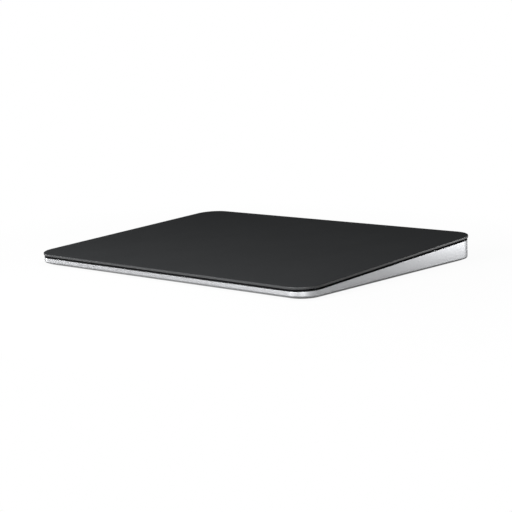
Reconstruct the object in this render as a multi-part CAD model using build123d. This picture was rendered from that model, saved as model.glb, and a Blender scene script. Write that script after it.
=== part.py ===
from build123d import *
import os
from math import atan2, cos, degrees, tan

# A low wireless trackpad, wedge-shaped in side view. A black glass plate floats over a machined aluminium
# tray. The plate stands on four steel force beams through soft gel pads, so it sinks a little under a
# finger, and an electromagnet in the tray nudges it sideways to feel like a click. The tray also holds the
# battery, the logic board, the charging port and the power switch, which opens in the rear wall.
#
# Frame: X runs to the user's right, Y away from the user and Z up. The origin is the centre of the
# footprint, on the desk. All sizes are millimetres.

# Overall wedge
pad_width = 160.0
pad_depth = 114.9
front_height = 4.9
rear_height = 10.9
corner_radius = 10.0

# Moving plate, its layers measured square to the sloping top face
glass_thickness = 1.0
glass_top_round = 0.22
glass_bottom_chamfer = 0.12
glass_adhesive_thickness = 0.1
glass_adhesive_margin = 0.6
sensor_board_thickness = 0.5
plate_adhesive_thickness = 0.1
plate_adhesive_margin = 1.0
plate_thickness = 0.6
plate_edge_clearance = 0.5
press_travel = 0.2
haptic_travel = 0.2
moving_clearance = 0.3

# Tray of the lower case
foot_stand = 0.65
case_inset = 0.3
case_wall = 1.6
case_floor = 1.0
case_bottom_round = 0.9
case_rim_chamfer = 0.12
rim_gap = 0.95
screw_skin = 0.35
cut_overrun = 2.0

# Soft black ring on the rim of the tray
gasket_width = 1.0
gasket_height = 0.25
gasket_edge = 0.2

# Rubber feet, set into round pockets in the underside
foot_radius = 5.5
foot_pocket_depth = 0.4
foot_pocket_clearance = 0.05
foot_round = 0.3
foot_side_inset = 15.0
foot_front_inset = 15.0

# Small screws
screw_radius = 0.6
screw_clearance = 0.03
screw_head_radius = 1.1
screw_head_height = 0.35
screw_head_chamfer = 0.1
screw_recess_length = 1.3
screw_recess_width = 0.28
screw_recess_depth = 0.2
screw_tip_gap = 0.15
boss_radius = 1.9
hole_clearance = 0.15

# Force beams: a fixed pad, a narrow neck that bends and a pad that moves with the plate
beam_thickness = 0.3
beam_pad_width = 11.0
beam_fixed_length = 8.0
beam_neck_width = 5.0
beam_neck_length = 8.0
beam_moving_length = 7.0
beam_corner_round = 1.0
beam_wall_gap = 1.2
front_beam_end_gap = 5.5
rear_beam_end_gap = 9.5
beam_screw_spacing = 6.4
beam_window_margin = 1.0
antenna_window_margin = 1.0
gel_thickness = 0.3
gel_margin = 0.5
gauge_width = 3.6
gauge_length = 5.0
gauge_thickness = 0.1
gauge_tail_width = 1.6
gauge_tail_reach = 1.4
force_flex_width = 2.4
force_flex_thickness = 0.15
force_flex_reach = 6.0
force_plug_length = 3.0
flex_corner_share = 0.33

# Logic board and what stands on it
board_thickness = 0.8
board_depth = 16.5
board_wall_gap = 1.2
board_side_gap = 1.5
board_corner_round = 1.2
board_hole_inset = 3.0
chip_height = 0.8
chip_edge_round = 0.12
processor_side = 7.0
driver_side = 4.5
charger_side = 4.0
radio_can_width = 14.0
radio_can_depth = 9.0
radio_can_height = 1.5
radio_can_round = 0.5
inductor_width = 2.2
inductor_depth = 2.6
inductor_height = 1.2
capacitor_length = 1.0
capacitor_width = 0.5
capacitor_height = 0.5
battery_socket_width = 4.0
battery_socket_depth = 2.6
battery_socket_height = 0.9
touch_socket_depth = 3.4
touch_socket_height = 1.1
touch_socket_lip = 0.4
board_edge_margin = 5.0
capacitor_pitch = 1.6
capacitor_row_shares = (0.12, 0.46)
inductor_row_share = 0.78

# How far back each item of the row on the board stands, from left to right
board_row_shares = {
    "battery_socket": 0.45,
    "radio_shield_can": 0.52,
    "main_processor": 0.45,
    "charge_controller_chip": 0.24,
    "haptic_driver_chip": 0.24,
    "touch_flex_socket": 0.36,
    "antenna_plug": 0.50,
}

# The items of that row that have a power inductor in the gap on their right
inductors_right_of = ("radio_shield_can", "haptic_driver_chip", "touch_flex_socket")

# Battery, lying behind the electromagnet
battery_depth = 24.0
battery_board_gap = 2.6
battery_side_gap = 5.5
battery_adhesive_thickness = 0.15
battery_adhesive_margin = 3.0
battery_adhesive_tab = 5.0
battery_corner_round = 2.0
battery_edge_round = 0.9
battery_terrace_length = 6.5
battery_terrace_margin = 1.5
battery_terrace_thickness = 0.4
battery_guard_thickness = 0.6
battery_guard_margin = 0.5
battery_lead_width = 3.2
battery_lead_thickness = 0.15
battery_rib_width = 1.0
battery_rib_height = 1.2
battery_rib_clearance = 0.4

# Electromagnet: a comb core with a coil round each leg, and the steel armature it pulls
haptic_gap = 2.6
haptic_frame_margin = 3.4
haptic_frame_thickness = 0.3
haptic_boss_height = 0.3
core_leg_width = 5.0
core_leg_length = 8.0
core_yoke_width = 3.0
coil_build = 2.0
coil_build_height = 0.4
coil_length = 6.6
coil_gap = 1.0
coil_round = 0.8
coil_round_share = 0.33
coil_fit = 0.03
magnet_clearance = 0.25
armature_width = 3.0
armature_flange_width = 7.0
armature_flange_thickness = 0.4
armature_floor_gap = 0.75
armature_screw_head_height = 0.4
haptic_window_clearance = 0.3

# Both openings in the rear wall: height of their middle above the desk, and the slant of their mouths
opening_height = 4.9
mouth_angle = 45.0

# Charging port, a standard receptacle on the board's rear edge
port_shell_width = 8.94
port_shell_height = 3.26
port_shell_length = 7.35
port_shell_wall = 0.3
port_recess = 0.35
port_wall_clearance = 0.15
port_back_thickness = 1.0
tongue_width = 6.69
tongue_thickness = 0.7
tongue_length = 4.45
tongue_tip_round = 0.2
contact_rows = 12
contact_pitch = 0.5
contact_width = 0.28
contact_length = 3.4
contact_thickness = 0.04
port_mouth_chamfer = 0.25
bracket_thickness = 0.3
bracket_ear = 3.6
bracket_depth = 4.2
bracket_fit = 0.05

# Power switch in the rear wall
switch_side_inset = 18.0
switch_travel = 3.2
switch_end_clearance = 0.2
switch_side_clearance = 0.15
knob_length = 5.6
knob_height = 2.9
knob_recess = 0.22
knob_float = 0.1
knob_round = 0.25
knob_rib_count = 5
knob_rib_pitch = 0.6
knob_rib_width = 0.22
knob_rib_depth = 0.12
knob_rib_height = 1.45
stem_width = 1.8
stem_height = 1.2
stem_length = 1.8
carriage_length = 5.0
carriage_depth = 2.2
carriage_height = 3.0
carriage_clearance = 0.1
housing_wall = 0.6
housing_ear_length = 3.6
housing_ear_thickness = 0.8
backplate_thickness = 0.5
backplate_margin = 1.4
on_tab_thickness = 0.12
switch_mouth_chamfer = 0.2

# Antenna on its plastic bridge, and the coaxial lead that feeds it
antenna_length = 22.0
antenna_depth = 5.5
antenna_side_gap = 9.0
antenna_wall_gap = 1.5
antenna_bridge_wall = 1.0
antenna_strip_thickness = 0.1
antenna_strip_width = 0.8
antenna_strip_margin = 0.6
antenna_strip_turns = 5
cable_radius = 0.45
cable_bend_radius = 1.5
cable_lift = 0.1
cable_end_share = 0.33
antenna_plug_radius = 1.2
antenna_plug_height = 1.1

# Flat flexible lead from the sensor board down to the logic board
touch_flex_width = 12.0
touch_flex_thickness = 0.15
touch_flex_bond = 5.0
touch_flex_drop = 3.2
touch_flex_bend = 1.2
touch_flex_insert = 2.0
touch_flex_slot_clearance = 0.06
touch_flex_window_margin = 1.2
touch_controller_side = 7.0
touch_controller_height = 0.6
touch_controller_place_shares = (0.30, 0.62)

# Ribs milled into the floor of the tray, in front of the electromagnet
floor_rib_width = 1.2
floor_rib_height = 0.35
floor_rib_y_shares = (-0.82, -0.71, -0.60)

# The sloping frame: its origin is the middle of the top face and its Z is square to that face
slope = atan2(rear_height - front_height, pad_depth)
mid_height = (front_height + rear_height) / 2
deck = Location((0, 0, mid_height), (degrees(slope), 0, 0))
deck_depth = pad_depth / cos(slope)

# Levels in the sloping frame, all below the top face
glass_level = -glass_thickness
sensor_top_level = glass_level - glass_adhesive_thickness
sensor_level = sensor_top_level - sensor_board_thickness
plate_top_level = sensor_level - plate_adhesive_thickness
plate_level = plate_top_level - plate_thickness
gel_level = plate_level - gel_thickness
beam_level = gel_level - beam_thickness
rim_level = glass_level - rim_gap

# Heights and outlines of the tray
floor_top = foot_stand + case_floor
tap_bottom = foot_stand + screw_skin
case_width = pad_width - 2 * case_inset
case_depth = pad_depth - 2 * case_inset
case_radius = corner_radius - case_inset
cavity_x = case_width / 2 - case_wall
cavity_y = case_depth / 2 - case_wall
cavity_radius = case_radius - case_wall
wall_y = case_depth / 2
plate_side_clearance = haptic_travel + plate_edge_clearance
plate_inset = case_inset + case_wall + plate_side_clearance
tap_radius = screw_radius + screw_clearance

# Force beams, each reaching inwards from its fixed pad
beam_x = cavity_x - beam_wall_gap - beam_pad_width / 2
beam_inner_x = beam_x - beam_pad_width / 2
front_beam_end = cavity_y - front_beam_end_gap
rear_beam_end = cavity_y - rear_beam_end_gap
corners = {
    "front_left": (-1, -1, front_beam_end),
    "front_right": (1, -1, front_beam_end),
    "rear_left": (-1, 1, rear_beam_end),
    "rear_right": (1, 1, rear_beam_end),
}

# Charging port and logic board
board_top = opening_height - port_shell_height / 2
board_bottom = board_top - board_thickness
board_rear = cavity_y - board_wall_gap
board_front = board_rear - board_depth

# Power switch
switch_x = -(case_width / 2 - switch_side_inset)
window_length = knob_length + switch_travel + 2 * switch_end_clearance
window_height = knob_height + 2 * switch_side_clearance
housing_length = carriage_length + switch_travel + 2 * switch_end_clearance + 2 * housing_wall
housing_depth = carriage_depth + 2 * carriage_clearance + 2 * housing_wall
housing_height = carriage_height + 2 * carriage_clearance + 2 * housing_wall
housing_rear = cavity_y - backplate_thickness
housing_bottom = opening_height - housing_height / 2
housing_reach = housing_length / 2 + housing_ear_length
slider_x = switch_x + switch_travel / 2

# Antenna, and the logic board that fills the space between it and the switch
antenna_right = cavity_x - antenna_side_gap
antenna_left = antenna_right - antenna_length
antenna_rear = cavity_y - antenna_wall_gap
antenna_front = antenna_rear - antenna_depth
board_left = switch_x + housing_reach + board_side_gap
board_right = antenna_left - board_side_gap
board_width = board_right - board_left
board_row_widths = {
    "battery_socket": battery_socket_width,
    "radio_shield_can": radio_can_width,
    "main_processor": processor_side,
    "charge_controller_chip": charger_side,
    "haptic_driver_chip": driver_side,
    "touch_flex_socket": touch_flex_width + 2 * touch_socket_lip,
    "antenna_plug": 2 * antenna_plug_radius,
}
board_row_spare = board_width - 2 * board_edge_margin - sum(board_row_widths.values())
board_row_gap = board_row_spare / (len(board_row_widths) - 1)

# Battery and electromagnet, in front of the logic board
battery_rear = board_front - battery_board_gap
battery_front = battery_rear - battery_depth
battery_x = beam_inner_x - battery_side_gap
leg_pitch = core_leg_width + 2 * coil_build + coil_gap
haptic_rear = battery_front - haptic_gap
haptic_row = 2 * leg_pitch + core_leg_width + 2 * coil_build
haptic_front = haptic_rear - haptic_row - 2 * haptic_frame_margin
haptic_y = (haptic_front + haptic_rear) / 2
air_gap = haptic_travel + magnet_clearance
coil_front = haptic_front + haptic_frame_margin
core_right = -air_gap / 2
core_left = core_right - core_leg_length - core_yoke_width
frame_left = core_left - haptic_frame_margin


def deck_z(y, level):
    """Height above the desk, at a place y, of the plane that lies level above the sloping top face."""
    return mid_height + y * tan(slope) + level / cos(slope)


def plate_limit(y):
    """Highest place, at y, that a fixed piece may reach under the moving plate."""
    return deck_z(y, plate_level) - press_travel - moving_clearance


core_bottom = floor_top + haptic_boss_height + haptic_frame_thickness
coil_top = plate_limit(coil_front)
core_top = coil_top - coil_build_height
coil_bottom = core_bottom - coil_build_height


def block(x0, x1, y0, y1, z0, z1):
    """A box given by its two corners."""
    return Pos((x0 + x1) / 2, (y0 + y1) / 2, (z0 + z1) / 2) * Box(x1 - x0, y1 - y0, z1 - z0)


def post(x, y, z0, z1, radius):
    """An upright cylinder."""
    return Pos(x, y, z0) * Cylinder(radius, z1 - z0, align=(Align.CENTER, Align.CENTER, Align.MIN))


def along_y(outline, x, z, y0, y1):
    """An outline drawn in X and Z, run along Y from y0 to y1."""
    return Pos(x, y1, z) * Rot(90, 0, 0) * extrude(outline, y1 - y0)


def above_deck(level):
    """All the space above a plane parallel to the top face."""
    return deck * Pos(0, 0, level) * Box(
        2 * pad_width, 2 * pad_depth, 2 * rear_height, align=(Align.CENTER, Align.CENTER, Align.MIN)
    )


def deck_slab(width, depth, radius, bottom, top):
    """A rounded sheet parallel to the top face, between two levels."""
    return deck * Pos(0, 0, bottom) * extrude(RectangleRounded(width, depth, radius), top - bottom)


def deck_box(x0, x1, v0, v1, bottom, top):
    """A box square to the sloping frame."""
    return deck * block(x0, x1, v0, v1, bottom, top)


def deck_post(x, v, bottom, top, radius):
    """A cylinder square to the sloping frame."""
    return deck * post(x, v, bottom, top, radius)


def screw(length):
    """A small cross-recess screw with the underside of its head at the origin and its shank downwards."""
    head = Cylinder(screw_head_radius, screw_head_height, align=(Align.CENTER, Align.CENTER, Align.MIN))
    head = chamfer(head.faces().sort_by(Axis.Z)[-1].edges(), screw_head_chamfer)
    slot = Box(screw_recess_length, screw_recess_width, 2 * screw_recess_depth)
    slot = Pos(0, 0, screw_head_height) * slot
    shank = Cylinder(screw_radius, length, align=(Align.CENTER, Align.CENTER, Align.MAX))
    return head - slot - Rot(0, 0, 90) * slot + shank


def screw_down(x, y, seat):
    """An upright screw with its head on the height seat and its tip just above its tapped hole's end."""
    return Pos(x, y, seat) * screw(seat - tap_bottom - screw_tip_gap)


def tapped(x, y, top):
    """The hole that a tapped boss has for an upright screw."""
    return post(x, y, tap_bottom, top + cut_overrun, tap_radius)


def board_depth_at(share):
    """Y at a share of the logic board's depth."""
    return board_front + share * board_depth


def on_board(name):
    """The middle of an item in the row on the logic board, where the gaps between neighbours are equal."""
    names = list(board_row_widths)
    before = names[: names.index(name)]
    start = board_left + board_edge_margin + sum(board_row_widths[n] + board_row_gap for n in before)
    return start + board_row_widths[name] / 2, board_depth_at(board_row_shares[name])


def board_gap_middle(name):
    """X of the middle of the gap to the right of an item in that row."""
    x, _ = on_board(name)
    return x + (board_row_widths[name] + board_row_gap) / 2


def board_gap_middles():
    """X of the middle of each gap in that row."""
    return [board_gap_middle(name) for name in list(board_row_widths)[:-1]]


def board_chip(x, y, width, depth, height):
    """A flat chip with softened edges, soldered on the logic board."""
    chip = block(x - width / 2, x + width / 2, y - depth / 2, y + depth / 2, board_top, board_top + height)
    return chamfer(chip.faces().sort_by(Axis.Z)[-1].edges(), chip_edge_round)


def strip(points, width, bottom, thickness):
    """A flat strip of flexible circuit that follows points in X and Y, with round corners."""
    outline = Sketch()
    for (xa, ya), (xb, yb) in zip(points, points[1:]):
        outline += Pos((xa + xb) / 2, (ya + yb) / 2) * Rectangle(abs(xb - xa) + width, abs(yb - ya) + width)
    outline = fillet(outline.vertices(), flex_corner_share * width)
    return Pos(0, 0, bottom) * extrude(outline, thickness)


def board_screw_places():
    """The four corner screws of the logic board."""
    xs = (board_left + board_hole_inset, board_right - board_hole_inset)
    ys = (board_front + board_hole_inset, board_rear - board_hole_inset)
    return [(x, y) for x in xs for y in ys]


def bracket_screw_places():
    """The two screws that hold the strap over the charging port."""
    reach = port_shell_width / 2 + bracket_fit + bracket_thickness + bracket_ear / 2
    y = board_rear - board_hole_inset
    return [(-reach, y), (reach, y)]


def haptic_screw_places():
    """The four screws at the corners of the electromagnet's frame."""
    xs = (frame_left + haptic_frame_margin / 2, core_right - haptic_frame_margin)
    ys = (haptic_front + haptic_frame_margin / 2, haptic_rear - haptic_frame_margin / 2)
    return [(x, y) for x in xs for y in ys]


def switch_screw_places():
    """The two screws in the ears of the switch housing."""
    reach = housing_length / 2 + housing_ear_length / 2
    y = housing_rear - housing_depth / 2
    return [(switch_x - reach, y), (switch_x + reach, y)]


def foot_places():
    """The middle of each foot, by name."""
    x = pad_width / 2 - foot_side_inset
    y = pad_depth / 2 - foot_front_inset
    return {
        "foot_front_left": (-x, -y),
        "foot_front_right": (x, -y),
        "foot_rear_left": (-x, y),
        "foot_rear_right": (x, y),
    }


def beam_screw_places(side, end, reach):
    """The two screws of a beam's fixed pad, in the sloping frame."""
    v = end * (reach - beam_fixed_length / 2)
    return [(side * beam_x - beam_screw_spacing / 2, v), (side * beam_x + beam_screw_spacing / 2, v)]


def beam_screw_length(side, end, reach):
    """How far a beam screw reaches below its head, kept above the skin of the tray's floor."""
    low_end = min(end * reach, end * (reach - beam_fixed_length))
    return deck_z(low_end, gel_level) - tap_bottom - screw_tip_gap


def lower_case():
    """The aluminium tray: floor, walls, bosses, ribs and every opening."""
    outline = RectangleRounded(case_width, case_depth, case_radius)
    tray = Pos(0, 0, foot_stand) * extrude(outline, rear_height)
    tray = fillet(tray.faces().sort_by(Axis.Z)[0].edges(), case_bottom_round)
    tray -= above_deck(rim_level)
    tray = chamfer(tray.faces().sort_by(Axis.Z)[-1].edges(), case_rim_chamfer)
    tray -= cavity_space(floor_top)
    tray += beam_pads() + case_bosses() + [battery_rib()] + floor_ribs()
    tray -= case_tappings() + foot_pockets()
    tray -= port_opening()
    tray -= switch_opening()
    return tray


def cavity_space(bottom):
    """The space inside the walls of the tray, from a given height upwards."""
    outline = RectangleRounded(2 * cavity_x, 2 * cavity_y, cavity_radius)
    return Pos(0, 0, bottom) * extrude(outline, rear_height)


def beam_pads():
    """The raised pads under the fixed ends of the force beams, with tops parallel to the glass."""
    pads = []
    for side, end, reach in corners.values():
        x = side * beam_x
        v = end * (reach - beam_fixed_length / 2)
        half_x = beam_pad_width / 2
        half_v = beam_fixed_length / 2
        pad = deck_box(x - half_x, x + half_x, v - half_v, v + half_v, -rear_height, beam_level)
        pads.append(pad & cavity_space(foot_stand + case_floor / 2))
    return pads


def case_bosses():
    """The bosses under the board, the port strap and the switch, and two bars under the electromagnet."""
    bottom = foot_stand + case_floor / 2
    bosses = [post(x, y, bottom, board_bottom, boss_radius) for x, y in board_screw_places()]
    bosses += [post(x, y, bottom, board_bottom, boss_radius) for x, y in bracket_screw_places()]
    for y in (haptic_front, haptic_rear - haptic_frame_margin):
        top = floor_top + haptic_boss_height
        bosses.append(block(frame_left, core_right, y, y + haptic_frame_margin, bottom, top))
    bosses += [post(x, y, bottom, housing_bottom, housing_ear_length / 2) for x, y in switch_screw_places()]
    return bosses


def case_tappings():
    """The tapped holes for every screw that goes into the tray."""
    holes = []
    for side, end, reach in corners.values():
        depth = beam_screw_length(side, end, reach) + screw_tip_gap
        for x, v in beam_screw_places(side, end, reach):
            holes.append(deck_post(x, v, gel_level - depth, gel_level, tap_radius))
    holes += [tapped(x, y, board_bottom) for x, y in board_screw_places() + bracket_screw_places()]
    holes += [tapped(x, y, floor_top + haptic_boss_height) for x, y in haptic_screw_places()]
    holes += [tapped(x, y, housing_bottom) for x, y in switch_screw_places()]
    return holes


def foot_pockets():
    """The round pockets in the underside for the feet."""
    radius = foot_radius + foot_pocket_clearance
    return [post(x, y, 0, foot_stand + foot_pocket_depth, radius) for x, y in foot_places().values()]


def port_opening():
    """The opening in the rear wall for the charging port."""
    length = port_shell_width + 2 * port_wall_clearance
    height = port_shell_height + 2 * port_wall_clearance
    return wall_opening(0, length, height, port_mouth_chamfer)


def switch_opening():
    """The window in the rear wall for the switch knob."""
    return wall_opening(switch_x, window_length, window_height, switch_mouth_chamfer)


def wall_opening(x, length, height, mouth):
    """A round-ended opening through the rear wall, with a chamfered mouth."""
    outline = SlotOverall(length, height)
    through = along_y(outline, x, opening_height, cavity_y - cut_overrun, wall_y + cut_overrun)
    flare = extrude(outline, mouth, taper=-mouth_angle)
    return through + Pos(x, wall_y - mouth, opening_height) * Rot(-90, 0, 0) * flare


def battery_rib():
    """A low rib that fences the battery, open at the end where its lead leaves."""
    x = battery_x + battery_rib_clearance
    y0 = battery_front - battery_rib_clearance
    y1 = battery_rear + battery_rib_clearance
    w = battery_rib_width
    top = floor_top + battery_rib_height
    bottom = foot_stand + case_floor / 2
    fence = block(-x, x + w, y0 - w, y1 + w, bottom, top) - block(-x - w, x, y0, y1, bottom, top)
    return fence


def floor_ribs():
    """Shallow ribs that stiffen the thin front part of the floor."""
    bottom = foot_stand + case_floor / 2
    top = floor_top + floor_rib_height
    half = floor_rib_width / 2
    reach = beam_inner_x - battery_side_gap
    places = [share * cavity_y for share in floor_rib_y_shares]
    return [block(-reach, reach, y - half, y + half, bottom, top) for y in places]


def rim_gasket():
    """The soft black ring that lies on the rim, under the edge of the glass."""
    outer = case_inset + gasket_edge
    top = rim_level + gasket_height
    return under_glass(outer, rim_level, top) - under_glass(outer + gasket_width, rim_level, top)


def foot(x, y):
    """A round rubber foot, seated in its pocket."""
    pad = post(x, y, 0, foot_stand + foot_pocket_depth, foot_radius)
    return fillet(pad.faces().sort_by(Axis.Z)[0].edges(), foot_round)


def touch_glass():
    """The black glass plate, with a rounded upper edge."""
    glass = extrude(RectangleRounded(pad_width, deck_depth, corner_radius), glass_thickness)
    glass = fillet(glass.faces().sort_by(Axis.Z)[-1].edges(), glass_top_round)
    glass = chamfer(glass.faces().sort_by(Axis.Z)[0].edges(), glass_bottom_chamfer)
    return deck * Pos(0, 0, glass_level) * glass


def under_glass(inset, bottom, top):
    """A sheet under the glass, set in from the glass outline."""
    return deck_slab(pad_width - 2 * inset, deck_depth - 2 * inset, corner_radius - inset, bottom, top)


def glass_adhesive():
    """The film that bonds the glass to the sensor board."""
    return under_glass(plate_inset + glass_adhesive_margin, sensor_top_level, glass_level)


def sensor_board():
    """The touch sensor circuit, as large as the plate below it."""
    return under_glass(plate_inset, sensor_level, sensor_top_level)


def plate_windows(bottom, top):
    """Every window that the stiffener plate and its adhesive share."""
    windows = []
    for side, end, reach in corners.values():
        x0, x1 = sorted((side * (beam_inner_x - beam_window_margin), side * pad_width / 2))
        neck_end = reach - beam_fixed_length - beam_neck_length
        v0, v1 = sorted((end * (reach + beam_window_margin), end * neck_end))
        windows.append(deck_box(x0, x1, v0, v1, bottom, top))
    windows.append(
        deck_box(
            antenna_left - antenna_window_margin,
            antenna_right + antenna_window_margin,
            antenna_front - antenna_window_margin,
            pad_depth / 2,
            bottom,
            top,
        )
    )
    x, v = touch_controller_place()
    side = touch_controller_side / 2 + touch_flex_window_margin
    windows.append(deck_box(x - side, x + side, v - side, v + side, bottom, top))
    x, v0, v1 = touch_flex_span()
    half = touch_flex_width / 2 + touch_flex_window_margin
    v0 -= touch_flex_window_margin
    v1 += 2 * touch_flex_window_margin
    windows.append(deck_box(x - half, x + half, v0, v1, bottom, top))
    return windows


def touch_controller_place():
    """Middle of the touch controller, in the sloping frame, given as shares of the plate's half sizes."""
    return touch_controller_place_shares[0] * cavity_x, touch_controller_place_shares[1] * cavity_y


def touch_flex_span():
    """X of the touch flex, and where its bonded part starts and ends in the sloping frame."""
    x, y = on_board("touch_flex_socket")
    mouth = y + touch_socket_depth / 2
    end = (mouth + touch_flex_drop) / cos(slope)
    return x, end - touch_flex_bond, end


def plate_adhesive():
    """The film between the sensor board and the stiffener plate."""
    film = under_glass(plate_inset + plate_adhesive_margin, plate_top_level, sensor_level)
    for window in plate_windows(plate_top_level, sensor_level):
        film -= window
    return film


def stiffener_plate():
    """The aluminium plate that carries the sensor board, with windows over the beams and the lead."""
    plate = under_glass(plate_inset, plate_level, plate_top_level)
    for window in plate_windows(plate_level, plate_top_level):
        plate -= window
    for x, v in armature_screw_places():
        plate -= deck * Pos(x, v, 0) * countersink()
    return plate


def countersink():
    """The countersunk hole for an armature screw, in the sloping frame."""
    hole = post(0, 0, plate_level, plate_top_level, screw_radius + hole_clearance)
    cone = Pos(0, 0, plate_top_level) * Cone(
        screw_radius + hole_clearance,
        screw_head_radius + hole_clearance,
        armature_screw_head_height,
        align=(Align.CENTER, Align.CENTER, Align.MAX),
    )
    return hole + cone


def armature_screw_places():
    """The three screws that hang the armature from the stiffener, in the sloping frame."""
    x = air_gap / 2 + armature_width + armature_flange_width / 2
    middle = haptic_y / cos(slope)
    return [(x, middle - leg_pitch), (x, middle), (x, middle + leg_pitch)]


def armature_screws():
    """Countersunk screws, flush with the top of the stiffener."""
    screws = []
    reach = plate_top_level - plate_level + armature_flange_thickness
    for x, v in armature_screw_places():
        head = Cone(
            screw_radius,
            screw_head_radius,
            armature_screw_head_height,
            align=(Align.CENTER, Align.CENTER, Align.MAX),
        )
        slot = Box(screw_recess_length, screw_recess_width, 2 * screw_recess_depth)
        shank = Cylinder(screw_radius, reach, align=(Align.CENTER, Align.CENTER, Align.MAX))
        body = head + shank - slot - Rot(0, 0, 90) * slot
        screws.append(deck * Pos(x, v, plate_top_level) * body)
    return Compound(screws)


def haptic_armature():
    """The steel bar that the electromagnet pulls, with the flange that is screwed to the stiffener."""
    x0 = air_gap / 2
    v0 = haptic_y / cos(slope) - haptic_row / 2
    v1 = haptic_y / cos(slope) + haptic_row / 2
    bar = block(
        x0, x0 + armature_width, haptic_y - haptic_row / 2, haptic_y + haptic_row / 2,
        floor_top + armature_floor_gap, rear_height,
    )
    bar -= above_deck(plate_level)
    x1 = x0 + armature_width + armature_flange_width
    flange = deck_box(x0, x1, v0, v1, plate_level - armature_flange_thickness, plate_level)
    armature = bar + flange
    for x, v in armature_screw_places():
        armature -= deck_post(x, v, plate_level - 2 * armature_flange_thickness, plate_level, tap_radius)
    return armature


def touch_controller():
    """The touch controller chip, on the underside of the sensor board."""
    x, v = touch_controller_place()
    half = touch_controller_side / 2
    bottom = sensor_level - touch_controller_height
    return deck_box(x - half, x + half, v - half, v + half, bottom, sensor_level)


def touch_flex():
    """The flat lead: bonded under the sensor board, then down and forwards into its socket."""
    x, v0, v1 = touch_flex_span()
    half = touch_flex_thickness / 2
    start = (deck * Pos(x, v0, sensor_level - half)).position
    turn = (deck * Pos(x, v1, sensor_level - half)).position
    socket_x, socket_y = on_board("touch_flex_socket")
    mouth = socket_y + touch_socket_depth / 2
    z = touch_flex_height()
    route = FilletPolyline(
        start,
        turn,
        (x, turn.Y, z),
        (x, mouth - touch_flex_insert, z),
        radius=touch_flex_bend,
    )
    section = Plane(origin=start, x_dir=(1, 0, 0), z_dir=route % 0) * Rectangle(
        touch_flex_width, touch_flex_thickness
    )
    return sweep(section, path=route)


def touch_flex_height():
    """Height of the middle of the flex where it enters its socket."""
    return board_top + touch_socket_height / 2


def touch_flex_socket():
    """The board connector that takes the touch flex, open at the rear."""
    x, y = on_board("touch_flex_socket")
    half = board_row_widths["touch_flex_socket"] / 2
    body = block(
        x - half, x + half, y - touch_socket_depth / 2, y + touch_socket_depth / 2, board_top,
        board_top + touch_socket_height,
    )
    slot_half = touch_flex_thickness / 2 + touch_flex_slot_clearance
    mouth = y + touch_socket_depth / 2
    slot = block(
        x - touch_flex_width / 2 - touch_flex_slot_clearance,
        x + touch_flex_width / 2 + touch_flex_slot_clearance,
        mouth - touch_flex_insert - touch_flex_slot_clearance,
        mouth + cut_overrun,
        touch_flex_height() - slot_half,
        touch_flex_height() + slot_half,
    )
    return body - slot


def force_beam(side, end, reach):
    """One steel beam: fixed pad with two holes, narrow neck and moving pad."""
    lengths = (beam_fixed_length, beam_neck_length, beam_moving_length)
    widths = (beam_pad_width, beam_neck_width, beam_pad_width)
    outline = Sketch()
    v = reach
    for length, width in zip(lengths, widths):
        outline += Pos(side * beam_x, end * (v - length / 2)) * Rectangle(width, length)
        v -= length
    outline = fillet(outline.vertices(), beam_corner_round)
    beam = Pos(0, 0, beam_level) * extrude(outline, beam_thickness)
    for x, v in beam_screw_places(side, end, reach):
        beam -= post(x, v, beam_level, gel_level, screw_radius + hole_clearance)
    return deck * beam


def gel_pad(side, end, reach):
    """The soft pad between a beam's moving end and the stiffener, which shears as the plate is nudged."""
    v = end * (reach - beam_fixed_length - beam_neck_length - beam_moving_length / 2)
    width = beam_pad_width - 2 * gel_margin
    length = beam_moving_length - 2 * gel_margin
    pad = RectangleRounded(width, length, beam_corner_round)
    return deck * Pos(side * beam_x, v, gel_level) * extrude(pad, gel_thickness)


def strain_gauge(side, end, reach):
    """A strain gauge on the neck of a beam, with a tail that folds down to the force flex."""
    v = end * (reach - beam_fixed_length - gauge_length / 2)
    patch = deck_box(
        side * beam_x - gauge_width / 2,
        side * beam_x + gauge_width / 2,
        v - gauge_length / 2,
        v + gauge_length / 2,
        gel_level,
        gel_level + gauge_thickness,
    )
    tail_end = beam_inner_x - gauge_tail_reach
    x0, x1 = sorted((side * beam_x, side * tail_end))
    tail = deck_box(
        x0, x1, v - gauge_tail_width / 2, v + gauge_tail_width / 2, gel_level, gel_level + gauge_thickness
    )
    x0, x1 = sorted((side * tail_end, side * (tail_end + gauge_thickness)))
    y0 = v * cos(slope) - gauge_tail_width / 2
    drop = block(x0, x1, y0, y0 + gauge_tail_width, floor_top + force_flex_thickness, rear_height)
    drop -= above_deck(gel_level + gauge_thickness / 2)
    return patch + tail + drop


def beam_screws():
    """Two screws in the fixed pad of each beam."""
    screws = []
    for side, end, reach in corners.values():
        for x, v in beam_screw_places(side, end, reach):
            screws.append(deck * Pos(x, v, gel_level) * screw(beam_screw_length(side, end, reach)))
    return Compound(screws)


def force_flex(side):
    """The flat lead along one side of the floor, from the front beam to the logic board."""
    x = side * (beam_inner_x - force_flex_width / 2)
    start = -(front_beam_end - beam_fixed_length)
    turn = board_front + board_depth / 2
    edge = board_left if side < 0 else board_right
    points = [(x, start), (x, turn), (edge - side * force_flex_reach, turn)]
    return strip(points, force_flex_width, floor_top, force_flex_thickness)


def force_flex_left():
    """The left lead, with the branch that runs under the electromagnet and feeds its coils."""
    x = -(beam_inner_x - force_flex_width / 2)
    coil_x = core_left + core_yoke_width + coil_length / 2
    points = [(x, haptic_y), (coil_x, haptic_y)]
    branch = strip(points, force_flex_width, floor_top, force_flex_thickness)
    cross = [(coil_x, haptic_y - leg_pitch), (coil_x, haptic_y + leg_pitch)]
    return force_flex(-1) + branch + strip(cross, force_flex_width, floor_top, force_flex_thickness)


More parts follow.
